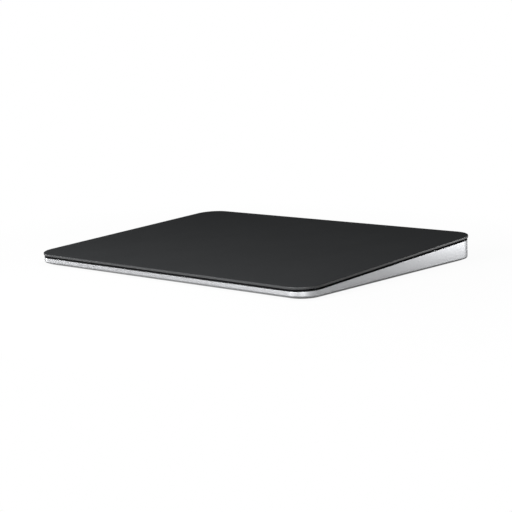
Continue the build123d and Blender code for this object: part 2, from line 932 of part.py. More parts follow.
def force_flex_plugs():
    """The connectors between the ends of the two force flexes and the underside of the logic board."""
    plugs = []
    y = board_front + board_depth / 2
    for side, edge in ((-1, board_left), (1, board_right)):
        x = edge - side * force_flex_reach
        plugs.append(
            block(
                x - force_plug_length / 2,
                x + force_plug_length / 2,
                y - force_flex_width / 2,
                y + force_flex_width / 2,
                floor_top + force_flex_thickness,
                board_bottom,
            )
        )
    return Compound(plugs)


def battery_heights():
    """Bottom and top of the battery cell."""
    return floor_top + battery_adhesive_thickness, plate_limit(battery_front)


def battery_adhesive():
    """The stretch-release strip under the battery, with its pull tab at the open end."""
    x = battery_x - battery_adhesive_margin
    y0 = battery_front + battery_adhesive_margin
    y1 = battery_rear - battery_adhesive_margin
    z1 = floor_top + battery_adhesive_thickness
    middle = (y0 + y1) / 2
    sheet = block(-x, x, y0, y1, floor_top, z1)
    tab = block(
        -x - battery_adhesive_tab, -x, middle - battery_adhesive_tab / 2, middle + battery_adhesive_tab / 2,
        floor_top, z1,
    )
    return sheet + tab


def battery_cell():
    """The flat pouch cell, with the thin terrace where its tabs come out."""
    z0, z1 = battery_heights()
    cell = block(-battery_x + battery_terrace_length, battery_x, battery_front, battery_rear, z0, z1)
    cell = fillet(cell.edges().filter_by(Axis.Z), battery_corner_round)
    cell = fillet(cell.faces().sort_by(Axis.Z)[-1].edges(), battery_edge_round)
    top = battery_guard_bottom()
    terrace = block(
        -battery_x,
        -battery_x + battery_terrace_length + battery_corner_round,
        battery_front + battery_terrace_margin,
        battery_rear - battery_terrace_margin,
        top - battery_terrace_thickness,
        top,
    )
    return cell + terrace


def battery_lead_bottom():
    """Height of the underside of the battery lead, which plugs on to the board socket."""
    return board_top + battery_socket_height


def battery_guard_bottom():
    """Height of the underside of the battery's guard board."""
    return battery_lead_bottom() - battery_guard_thickness


def battery_guard_board():
    """The narrow protection board on the battery's terrace."""
    inset = battery_terrace_margin + battery_guard_margin
    return block(
        -battery_x + battery_guard_margin,
        -battery_x + battery_terrace_length - battery_guard_margin,
        battery_front + inset,
        battery_rear - inset,
        battery_guard_bottom(),
        battery_lead_bottom(),
    )


def battery_lead():
    """The flat lead from the guard board to the logic board."""
    x = -battery_x + battery_terrace_length / 2
    socket_x, socket_y = on_board("battery_socket")
    start = battery_rear - battery_depth / 2
    points = [(x, start), (x, socket_y), (socket_x, socket_y)]
    return strip(points, battery_lead_width, battery_lead_bottom(), battery_lead_thickness)


def logic_board():
    """The main circuit board, on four bosses behind the battery."""
    board = extrude(RectangleRounded(board_width, board_depth, board_corner_round), board_thickness)
    board = Pos((board_left + board_right) / 2, (board_front + board_rear) / 2, board_bottom) * board
    for x, y in board_screw_places() + bracket_screw_places():
        board -= post(x, y, board_bottom, board_top, screw_radius + hole_clearance)
    return board


def board_inductors():
    """The power inductors along the rear of the board, in gaps of the row."""
    y = board_depth_at(inductor_row_share)
    sizes = (inductor_width, inductor_depth, inductor_height)
    return Compound([board_chip(board_gap_middle(name), y, *sizes) for name in inductors_right_of])


def board_capacitors():
    """Small ceramic capacitors, two columns in each gap of the row."""
    parts = []
    z0, z1 = board_top, board_top + capacitor_height
    for middle in board_gap_middles():
        for x in (middle - capacitor_pitch / 2, middle + capacitor_pitch / 2):
            x0, x1 = x - capacitor_width / 2, x + capacitor_width / 2
            for share in capacitor_row_shares:
                y = board_depth_at(share)
                parts.append(block(x0, x1, y - capacitor_length / 2, y + capacitor_length / 2, z0, z1))
    return Compound(parts)


def radio_shield_can():
    """The pressed steel can over the radio."""
    x, y = on_board("radio_shield_can")
    can = extrude(RectangleRounded(radio_can_width, radio_can_depth, radio_can_round), radio_can_height)
    can = fillet(can.faces().sort_by(Axis.Z)[-1].edges(), radio_can_round / 2)
    return Pos(x, y, board_top) * can


def battery_socket():
    """The board connector that the battery lead plugs on to."""
    x, y = on_board("battery_socket")
    return board_chip(x, y, battery_socket_width, battery_socket_depth, battery_socket_height)


def screws_at(places, seat):
    """A group of like screws, all seated at one height."""
    return Compound([screw_down(x, y, seat) for x, y in places])


def charge_port_shell():
    """The steel shell of the receptacle, closed at its inner end."""
    rear = wall_y - port_recess
    front = rear - port_shell_length
    outer = along_y(SlotOverall(port_shell_width, port_shell_height), 0, opening_height, front, rear)
    inner = along_y(
        SlotOverall(port_shell_width - 2 * port_shell_wall, port_shell_height - 2 * port_shell_wall),
        0, opening_height, front + port_back_thickness, rear + cut_overrun,
    )
    return outer - inner


def tongue_root():
    """Y of the face that the receptacle's tongue stands on."""
    return wall_y - port_recess - port_shell_length + port_back_thickness


def charge_port_tongue():
    """The plastic tongue inside the receptacle."""
    tongue = block(
        -tongue_width / 2,
        tongue_width / 2,
        tongue_root(),
        tongue_root() + tongue_length,
        opening_height - tongue_thickness / 2,
        opening_height + tongue_thickness / 2,
    )
    return chamfer(tongue.faces().sort_by(Axis.Y)[-1].edges(), tongue_tip_round)


def charge_port_contacts():
    """Twelve gold contacts on each side of the tongue."""
    pads = []
    first = -(contact_rows - 1) * contact_pitch / 2
    half = tongue_thickness / 2
    y0, y1 = tongue_root(), tongue_root() + contact_length
    for i in range(contact_rows):
        x = first + i * contact_pitch
        x0, x1 = x - contact_width / 2, x + contact_width / 2
        for z0, z1 in ((half, half + contact_thickness), (-half - contact_thickness, -half)):
            pads.append(block(x0, x1, y0, y1, opening_height + z0, opening_height + z1))
    return Compound(pads)


def charge_port_bracket():
    """The steel strap over the receptacle, screwed down through the board."""
    y = board_rear - board_hole_inset
    y0 = y - bracket_depth / 2
    y1 = y + bracket_depth / 2
    inner = SlotOverall(port_shell_width + 2 * bracket_fit, port_shell_height + 2 * bracket_fit)
    outer = SlotOverall(
        port_shell_width + 2 * (bracket_fit + bracket_thickness),
        port_shell_height + 2 * (bracket_fit + bracket_thickness),
    )
    reach = port_shell_width / 2 + bracket_fit + bracket_thickness
    arch = along_y(outer, 0, opening_height, y0, y1)
    ear_end = reach + bracket_ear
    ears = block(-ear_end, ear_end, y0, y1, board_top, board_top + bracket_thickness)
    strap = arch + ears
    strap -= along_y(inner, 0, opening_height, y0 - cut_overrun, y1 + cut_overrun)
    strap -= block(
        -2 * reach, 2 * reach, y0 - cut_overrun, y1 + cut_overrun, board_bottom - cut_overrun, board_top
    )
    for x, y in bracket_screw_places():
        strap -= post(x, y, board_top, board_top + bracket_thickness, screw_radius + hole_clearance)
    return strap.solids().sort_by(SortBy.VOLUME)[-1]


def switch_knob():
    """The part of the switch that a finger moves, ribbed on its face, with the stem behind it."""
    front = wall_y - knob_recess
    back = cavity_y + knob_float
    knob = along_y(SlotOverall(knob_length, knob_height), slider_x, opening_height, back, front)
    knob = fillet(knob.faces().sort_by(Axis.Y)[-1].edges(), knob_round)
    first = -(knob_rib_count - 1) * knob_rib_pitch / 2
    for i in range(knob_rib_count):
        x = slider_x + first + i * knob_rib_pitch
        knob -= block(
            x - knob_rib_width / 2, x + knob_rib_width / 2, front - knob_rib_depth, front + cut_overrun,
            opening_height - knob_rib_height / 2, opening_height + knob_rib_height / 2,
        )
    stem = block(
        slider_x - stem_width / 2, slider_x + stem_width / 2, back - stem_length, back,
        opening_height - stem_height / 2, opening_height + stem_height / 2,
    )
    return knob + stem


def carriage_rear():
    """Y of the face of the carriage that the stem enters."""
    return housing_rear - housing_wall - carriage_clearance


def switch_carriage():
    """The contact carriage inside the switch housing, driven by the stem."""
    rear = carriage_rear()
    body = block(
        slider_x - carriage_length / 2, slider_x + carriage_length / 2, rear - carriage_depth, rear,
        opening_height - carriage_height / 2, opening_height + carriage_height / 2,
    )
    back = cavity_y + knob_float
    pocket = block(
        slider_x - stem_width / 2, slider_x + stem_width / 2, back - stem_length, rear + cut_overrun,
        opening_height - stem_height / 2, opening_height + stem_height / 2,
    )
    return body - pocket


def stem_slot(y0, y1):
    """The slot that lets the stem travel, between two places along Y."""
    length = stem_width + switch_travel + 2 * switch_end_clearance
    height = stem_height + 2 * switch_side_clearance
    return along_y(Rectangle(length, height), switch_x, opening_height, y0, y1)


def switch_backplate():
    """The plastic plate behind the window in the rear wall, with a seat for the coloured tab."""
    plate = along_y(
        Rectangle(window_length + 2 * backplate_margin, window_height + 2 * backplate_margin),
        switch_x, opening_height, housing_rear, cavity_y,
    )
    seat = cavity_y - on_tab_thickness
    plate -= along_y(on_tab_outline(), on_tab_x(), opening_height, seat, cavity_y + cut_overrun)
    return plate - stem_slot(housing_rear - cut_overrun, cavity_y + cut_overrun)


def on_tab_outline():
    """Outline of the coloured tab, as tall as the window."""
    return Rectangle(switch_travel + switch_end_clearance, window_height)


def on_tab_x():
    """Middle of the coloured tab, at the end of the window that the knob uncovers at rest."""
    return switch_x - window_length / 2 + (switch_travel + switch_end_clearance) / 2


def switch_on_tab():
    """The coloured tab that shows when the switch is on."""
    tab = along_y(on_tab_outline(), on_tab_x(), opening_height, cavity_y - on_tab_thickness, cavity_y)
    return tab - stem_slot(housing_rear - cut_overrun, cavity_y + cut_overrun)


def switch_housing():
    """The slide switch's hollow housing, with an ear at each end."""
    x0, x1 = switch_x - housing_length / 2, switch_x + housing_length / 2
    front = housing_rear - housing_depth
    shell = block(x0, x1, front, housing_rear, housing_bottom, housing_bottom + housing_height)
    shell += block(
        x0 - housing_ear_length, x1 + housing_ear_length, front, housing_rear, housing_bottom,
        housing_bottom + housing_ear_thickness,
    )
    shell -= block(
        x0 + housing_wall, x1 - housing_wall, front + housing_wall, housing_rear - housing_wall,
        housing_bottom + housing_wall, housing_bottom + housing_height - housing_wall,
    )
    shell -= stem_slot(housing_rear - 2 * housing_wall, housing_rear + cut_overrun)
    for x, y in switch_screw_places():
        shell -= post(
            x, y, housing_bottom, housing_bottom + housing_ear_thickness, screw_radius + hole_clearance
        )
    return shell


def coil_leg_places():
    """Y of each leg of the core, by the name of its coil."""
    return {"front": haptic_y - leg_pitch, "middle": haptic_y, "rear": haptic_y + leg_pitch}


def haptic_core():
    """The laminated comb core: a yoke and three legs that face the armature."""
    half = haptic_row / 2 - coil_build
    yoke_right = core_left + core_yoke_width
    core = block(core_left, yoke_right, haptic_y - half, haptic_y + half, core_bottom, core_top)
    for y in coil_leg_places().values():
        core += block(
            core_left, core_right, y - core_leg_width / 2, y + core_leg_width / 2, core_bottom, core_top
        )
    return core


def haptic_coils():
    """A flat copper coil round each leg of the core."""
    coils = []
    x0 = core_left + core_yoke_width + coil_fit
    rounding = min(coil_round, coil_round_share * (coil_top - coil_bottom))
    for y in coil_leg_places().values():
        half = core_leg_width / 2 + coil_build
        coil = block(x0, x0 + coil_length, y - half, y + half, coil_bottom, coil_top)
        coil = fillet(coil.edges().filter_by(Axis.X), rounding)
        coil -= block(
            x0 - cut_overrun, x0 + coil_length + cut_overrun, y - core_leg_width / 2 - coil_fit,
            y + core_leg_width / 2 + coil_fit, core_bottom - coil_fit, core_top + coil_fit,
        )
        coils.append(coil)
    return Compound(coils)


def haptic_frame():
    """The steel frame plate under the core, with windows for the coils."""
    z0 = floor_top + haptic_boss_height
    plate = block(frame_left, core_right, haptic_front, haptic_rear, z0, core_bottom)
    for y in coil_leg_places().values():
        half = core_leg_width / 2 + coil_build + haptic_window_clearance
        x0 = core_left + core_yoke_width - haptic_window_clearance
        plate -= block(
            x0, x0 + coil_length + 2 * haptic_window_clearance, y - half, y + half, z0 - cut_overrun,
            core_bottom + cut_overrun,
        )
    for x, y in haptic_screw_places():
        plate -= post(x, y, z0, core_bottom, screw_radius + hole_clearance)
    return plate


def antenna_top():
    """Height of the top of the antenna's plastic bridge."""
    return plate_limit(antenna_front) - antenna_strip_thickness


def antenna_bridge():
    """The plastic bridge that holds the antenna up under the glass."""
    top = antenna_top()
    bridge = block(antenna_left, antenna_right, antenna_front, antenna_rear, floor_top, top)
    wall = antenna_bridge_wall
    bridge -= block(
        antenna_left + wall, antenna_right - wall, antenna_front - cut_overrun, antenna_rear - wall,
        floor_top - cut_overrun, top - wall,
    )
    return bridge


def antenna_strip():
    """The folded copper trace on top of the bridge."""
    bottom = antenna_top()
    top = bottom + antenna_strip_thickness
    x0 = antenna_left + antenna_strip_margin
    y0 = antenna_front + antenna_strip_margin
    y1 = antenna_rear - antenna_strip_margin
    step = (antenna_length - 2 * antenna_strip_margin - antenna_strip_width) / antenna_strip_turns
    w = antenna_strip_width
    trace_part = Part()
    for i in range(antenna_strip_turns + 1):
        x = x0 + i * step
        trace_part += block(x, x + w, y0, y1, bottom, top)
        if i < antenna_strip_turns:
            y = y0 if i % 2 else y1 - w
            trace_part += block(x, x + step + w, y, y + w, bottom, top)
    return trace_part


def antenna_cable():
    """The coaxial lead from the bridge to its plug on the board, in one gentle sideways step."""
    plug_x, plug_y = on_board("antenna_plug")
    end_x = plug_x + antenna_plug_radius / 2
    y = (antenna_front + antenna_rear) / 2
    z = board_top + cable_radius + cable_lift
    step = cable_end_share * (antenna_left - end_x)
    route = FilletPolyline(
        (antenna_left, y, z),
        (antenna_left - step, y, z),
        (end_x + step, plug_y, z),
        (end_x, plug_y, z),
        radius=cable_bend_radius,
    )
    section = Plane(origin=route @ 0, z_dir=route % 0) * Circle(cable_radius)
    return sweep(section, path=route)


def antenna_plug():
    """The snap-on coaxial plug at the board end of the lead."""
    x, y = on_board("antenna_plug")
    plug = post(x, y, board_top, board_top + antenna_plug_height, antenna_plug_radius)
    return plug - antenna_cable()


def chip(name):
    """A square chip of the usual height, in its place in the row on the board."""
    x, y = on_board(name)
    return board_chip(x, y, board_row_widths[name], board_row_widths[name], chip_height)


def all_nodes():
    """Every separate piece, by the name of its node."""
    nodes = {
        "lower_case": lower_case(),
        "rim_gasket": rim_gasket(),
        "touch_glass": touch_glass(),
        "glass_adhesive": glass_adhesive(),
        "sensor_board": sensor_board(),
        "plate_adhesive": plate_adhesive(),
        "stiffener_plate": stiffener_plate(),
        "touch_controller": touch_controller(),
        "touch_flex": touch_flex(),
        "touch_flex_socket": touch_flex_socket(),
        "beam_screws": beam_screws(),
        "force_flex_left": force_flex_left(),
        "force_flex_right": force_flex(1),
        "force_flex_plugs": force_flex_plugs(),
        "battery_adhesive": battery_adhesive(),
        "battery_cell": battery_cell(),
        "battery_guard_board": battery_guard_board(),
        "battery_lead": battery_lead(),
        "battery_socket": battery_socket(),
        "logic_board": logic_board(),
        "logic_board_screws": screws_at(board_screw_places(), board_top),
        "main_processor": chip("main_processor"),
        "haptic_driver_chip": chip("haptic_driver_chip"),
        "charge_controller_chip": chip("charge_controller_chip"),
        "radio_shield_can": radio_shield_can(),
        "board_inductors": board_inductors(),
        "board_capacitors": board_capacitors(),
        "charge_port_shell": charge_port_shell(),
        "charge_port_tongue": charge_port_tongue(),
        "charge_port_contacts": charge_port_contacts(),
        "charge_port_bracket": charge_port_bracket(),
        "charge_port_screws": screws_at(bracket_screw_places(), board_top + bracket_thickness),
        "switch_knob": switch_knob(),
        "switch_carriage": switch_carriage(),
        "switch_backplate": switch_backplate(),
        "switch_on_tab": switch_on_tab(),
        "switch_housing": switch_housing(),
        "switch_screws": screws_at(switch_screw_places(), housing_bottom + housing_ear_thickness),
        "haptic_frame": haptic_frame(),
        "haptic_core": haptic_core(),
        "haptic_coils": haptic_coils(),
        "haptic_screws": screws_at(haptic_screw_places(), core_bottom),
        "haptic_armature": haptic_armature(),
        "armature_screws": armature_screws(),
        "antenna_bridge": antenna_bridge(),
        "antenna_strip": antenna_strip(),
        "antenna_cable": antenna_cable(),
        "antenna_plug": antenna_plug(),
    }
    for name, (x, y) in foot_places().items():
        nodes[name] = foot(x, y)
    for name, (side, end, reach) in corners.items():
        nodes["force_beam_" + name] = force_beam(side, end, reach)
    nodes["gel_pads"] = Compound([gel_pad(*corner) for corner in corners.values()])
    nodes["strain_gauges"] = Compound([strain_gauge(*corner) for corner in corners.values()])
    return nodes


os.makedirs("parts", exist_ok=True)
for name, shape in all_nodes().items():
    export_step(shape, f"parts/{name}.step")
    print(name, "solids", len(shape.solids()), "volume", round(sum(s.volume for s in shape.solids()), 2))
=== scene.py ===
"""Looks of a wedge-shaped wireless trackpad: an etched black glass plate over a bead-blasted aluminium tray.

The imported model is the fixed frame. The pieces that show from outside are modelled again here with softened
edges, and so are the force beams, which bend. Every other piece keeps its own shape and gets a finish, and a
plain studio holds the camera of the reference view. Sizes of the object are millimetres, which a Workpiece
turns into metres. Those of the floor and of what hangs round it are metres.
"""

import logging
import math
from dataclasses import dataclass
from enum import Enum
from typing import Any, Callable

import bmesh
import bpy
from bpy.types import Material, Node, NodeSocket, NodeTree, Object, World
from mathutils import Matrix, Vector


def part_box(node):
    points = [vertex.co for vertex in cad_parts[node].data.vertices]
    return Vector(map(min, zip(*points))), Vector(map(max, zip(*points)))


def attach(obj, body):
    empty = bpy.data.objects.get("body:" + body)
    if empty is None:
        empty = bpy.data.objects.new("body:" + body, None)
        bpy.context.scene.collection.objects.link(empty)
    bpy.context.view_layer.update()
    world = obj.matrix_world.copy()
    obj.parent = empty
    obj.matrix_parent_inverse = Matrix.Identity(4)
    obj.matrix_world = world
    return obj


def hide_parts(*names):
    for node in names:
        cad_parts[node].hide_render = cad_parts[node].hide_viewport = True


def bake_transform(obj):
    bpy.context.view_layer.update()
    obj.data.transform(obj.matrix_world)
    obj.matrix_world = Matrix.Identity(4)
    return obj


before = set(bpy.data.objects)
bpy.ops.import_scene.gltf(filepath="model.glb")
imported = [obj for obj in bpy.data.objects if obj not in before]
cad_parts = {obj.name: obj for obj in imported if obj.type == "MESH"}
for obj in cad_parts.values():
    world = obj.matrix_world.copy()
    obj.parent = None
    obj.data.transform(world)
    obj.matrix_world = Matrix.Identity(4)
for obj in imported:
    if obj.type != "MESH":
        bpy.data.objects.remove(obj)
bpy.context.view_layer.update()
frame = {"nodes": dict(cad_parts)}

MM = 0.001
LOG = logging.getLogger("trackpad")

# The sRGB transfer curve: below the knee it is a line, above it a power.
SRGB_KNEE = 0.04045
SRGB_SLOPE = 12.92
SRGB_LIFT = 0.055
SRGB_POWER = 2.4
FULL_BYTE = 255

# Blender's wave texture draws this many bands in a full turn of its scaled coordinate.
WAVE_BANDS = 20
NOISE_DETAIL = 3.0

# The least cosine between two directions that count as the same.
SAME_WAY = 0.99
# A rounding of half the height stops just short of it, so that no faces of zero width are left.
HALF_ROUND = 0.999
# How near two vertices lie to be one, in millimetres.
WELD_DISTANCE = 0.0005
# The sharpest angle between faces that is still shaded smooth, in degrees.
SMOOTH_ANGLE = 40
FLAT_FACE_WEIGHT = 100

FELT_COLOUR = "#101010"

Rule = Callable[[Vector, Vector], bool]


class Body(Enum):
    """The rigid bodies that pieces ride on."""

    CASE = "case"
    BEAMS = "force_beams"
    PLATE = "touch_plate"
    SLIDER = "switch_slider"


class Pick(Enum):
    """What a selection rule is asked about: a face's centre and normal, or an edge's centre and direction."""

    FACE = "FACE"
    EDGE = "EDGE"


def linear(colour: str) -> tuple[float, float, float, float]:
    """Turns an sRGB hex colour into the linear colour that a shader takes.

    Args:
        colour: A colour such as "#c8c9cd".

    Returns:
        Linear red, green and blue, with an alpha of 1.
    """
    shares = [byte / FULL_BYTE for byte in bytes.fromhex(colour[1:])]
    red, green, blue = (
        share / SRGB_SLOPE if share <= SRGB_KNEE else ((share + SRGB_LIFT) / (1 + SRGB_LIFT)) ** SRGB_POWER
        for share in shares
    )
    return (red, green, blue, 1.0)


def box_mm(node: str) -> tuple[Vector, Vector]:
    """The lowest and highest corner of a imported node, in millimetres.

    Args:
        node: The node's name.

    Returns:
        Both corners.
    """
    low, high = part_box(node)
    return low / MM, high / MM


def empty_tree(owner: Material | World) -> NodeTree:
    """Turns on the shader nodes of a material or world, and gives its tree, cleared."""
    owner.use_nodes = True
    owner.node_tree.nodes.clear()
    return owner.node_tree


def flat_grid(name: str, cells: int, size: float) -> Object:
    """Adds a flat square grid about the origin, so many cells along each side."""
    bpy.ops.object.select_all(action="DESELECT")
    bpy.ops.mesh.primitive_grid_add(x_subdivisions=cells, y_subdivisions=cells, size=size)
    bpy.context.object.name = name
    return bpy.context.object


def socket(sockets: Any, key: Any) -> NodeSocket:
    """Finds a socket by its number, or the one in use among those of one name.

    Args:
        sockets: A node's inputs or outputs.
        key: The socket's number or name.

    Returns:
        The socket.
    """
    if isinstance(key, int):
        return sockets[key]
    return next(s for s in sockets if s.name == key and s.enabled)


def add(
    tree: NodeTree,
    kind: str,
    settings: dict[Any, Any] | None = None,
    links: dict[Any, NodeSocket] | None = None,
) -> Node:
    """Adds a shader node with its settings and links.

    Args:
        tree: The node tree to add to.
        kind: The node's type, without its "ShaderNode" prefix.
        settings: Values by property name, socket name or socket number, in the order they are set.
        links: Output sockets to join, by the input's name or number.

    Returns:
        The new node.
    """
    made = tree.nodes.new("ShaderNode" + kind)
    for key, value in (settings or {}).items():
        if isinstance(key, str) and key[0].islower():
            setattr(made, key, value)
        else:
            socket(made.inputs, key).default_value = value
    for key, source in (links or {}).items():
        tree.links.new(source, socket(made.inputs, key))
    return made


@dataclass(frozen=True)
class Finish:
    """A surface with a slightly clouded colour, uneven gloss and a fine grain in relief.

    Lengths are millimetres on the real object.
    """

    name: str
    colour: str
    cloud_colour: str
    roughness: float
    roughness_spread: float = 0.05
    cloud: float = 6.0
    grain: float = 0.4
    relief: float = 0.01
    metallic: float = 0.0
    ior: float = 1.5
    gloss: float = 0.5
    clear: float = 0.0
    stretch: tuple[float, float, float] = (1.0, 1.0, 1.0)

    def material(self) -> Material:
        """Builds the material.

        Returns:
            A material with its own node tree.
        """
        made = bpy.data.materials.new(self.name)
        tree = empty_tree(made)
        place = add(tree, "TexCoord")
        along = add(tree, "Mapping", {"Scale": self.stretch}, {"Vector": place.outputs["Object"]})
        surface = self.surface(tree, along.outputs["Vector"])
        add(tree, "OutputMaterial", links={"Surface": surface})
        return made

    def surface(self, tree: NodeTree, place: NodeSocket) -> NodeSocket:
        """Joins colour, gloss and relief in one shader.

        Args:
            tree: The material's node tree.
            place: The coordinates that the patterns follow.

        Returns:
            The shader's socket.
        """
        colour = self.coloured(tree, place)
        height = self.textured(tree, place)
        smoothest = self.roughness - self.roughness_spread
        roughest = self.roughness + self.roughness_spread
        uneven = add(tree, "MapRange", {"To Min": smoothest, "To Max": roughest}, {"Value": height})
        relief = add(tree, "Bump", {"Strength": 1.0, "Distance": self.relief * MM}, {"Height": height})
        principled = add(
            tree,
            "BsdfPrincipled",
            {
                "Metallic": self.metallic,
                "IOR": self.ior,
                "Specular IOR Level": self.gloss,
                "Transmission Weight": self.clear,
            },
            {"Base Color": colour, "Roughness": uneven.outputs["Result"], "Normal": relief.outputs["Normal"]},
        )
        return principled.outputs["BSDF"]

    def noise(self, tree: NodeTree, place: NodeSocket, size: float) -> NodeSocket:
        """Adds a noise whose grains are about one size in millimetres, and returns its value."""
        made = add(tree, "TexNoise", {"Scale": 1 / (size * MM), "Detail": NOISE_DETAIL}, {"Vector": place})
        return made.outputs["Fac"]

    def mixed(self, tree: NodeTree, share: NodeSocket, first: Any, second: Any) -> NodeSocket:
        """Blends two colours, each a hex colour or a socket.

        Args:
            tree: The material's node tree.
            share: How much of the second colour shows.
            first: The colour at 0.
            second: The colour at 1.

        Returns:
            The blended colour's socket.
        """
        both = {"A": first, "B": second}
        fixed = {key: linear(value) for key, value in both.items() if isinstance(value, str)}
        joined = {key: value for key, value in both.items() if not isinstance(value, str)}
        made = add(tree, "Mix", {"data_type": "RGBA", **fixed}, {"Factor": share, **joined})
        return socket(made.outputs, "Result")

    def coloured(self, tree: NodeTree, place: NodeSocket) -> NodeSocket:
        """Clouds the colour, and returns its socket."""
        return self.mixed(tree, self.noise(tree, place, self.cloud), self.colour, self.cloud_colour)

    def textured(self, tree: NodeTree, place: NodeSocket) -> NodeSocket:
        """Gives the height of the fine grain, from 0 to 1."""
        return self.noise(tree, place, self.grain)


@dataclass(frozen=True)
class BandedFinish(Finish):
    """A finish with fine bands across one axis, as on wound wire, stacked laminations or printed traces."""

    axis: str = "X"
    pitch: float = 0.4
    band_colour: str = "#000000"

    def bands(self, tree: NodeTree, place: NodeSocket) -> NodeSocket:
        """Adds the bands, one for each pitch along the axis, and returns their value."""
        turns = 2 * math.pi / WAVE_BANDS / (self.pitch * MM)
        settings = {"bands_direction": self.axis, "Scale": turns, "Distortion": 0.0}
        return add(tree, "TexWave", settings, {"Vector": place}).outputs["Fac"]

    def coloured(self, tree: NodeTree, place: NodeSocket) -> NodeSocket:
        """Draws the bands into the clouded colour."""
        return self.mixed(tree, self.bands(tree, place), self.band_colour, super().coloured(tree, place))

    def textured(self, tree: NodeTree, place: NodeSocket) -> NodeSocket:
        """Raises the middle of each band."""
        return self.bands(tree, place)


@dataclass(frozen=True)
class BoardFinish(Finish):
    """Solder mask over copper: blocks of covered tracks stand a little proud and look lighter."""

    track: float = 1.6
    track_colour: str = "#000000"
    track_edge: tuple[float, float] = (0.38, 0.44)

    def tracks(self, tree: NodeTree, place: NodeSocket) -> NodeSocket:
        """Adds angular fields of tracks, and returns their value."""
        settings = {"feature": "F1", "distance": "CHEBYCHEV", "Scale": 1 / (self.track * MM)}
        made = add(tree, "TexVoronoi", settings, {"Vector": place})
        sharp = add(tree, "ValToRGB", links={"Fac": made.outputs["Distance"]})
        for element, position in zip(sharp.color_ramp.elements, self.track_edge):
            element.position = position
        return sharp.outputs["Color"]

    def coloured(self, tree: NodeTree, place: NodeSocket) -> NodeSocket:
        """Lightens the mask where copper lies under it."""
        return self.mixed(tree, self.tracks(tree, place), self.track_colour, super().coloured(tree, place))


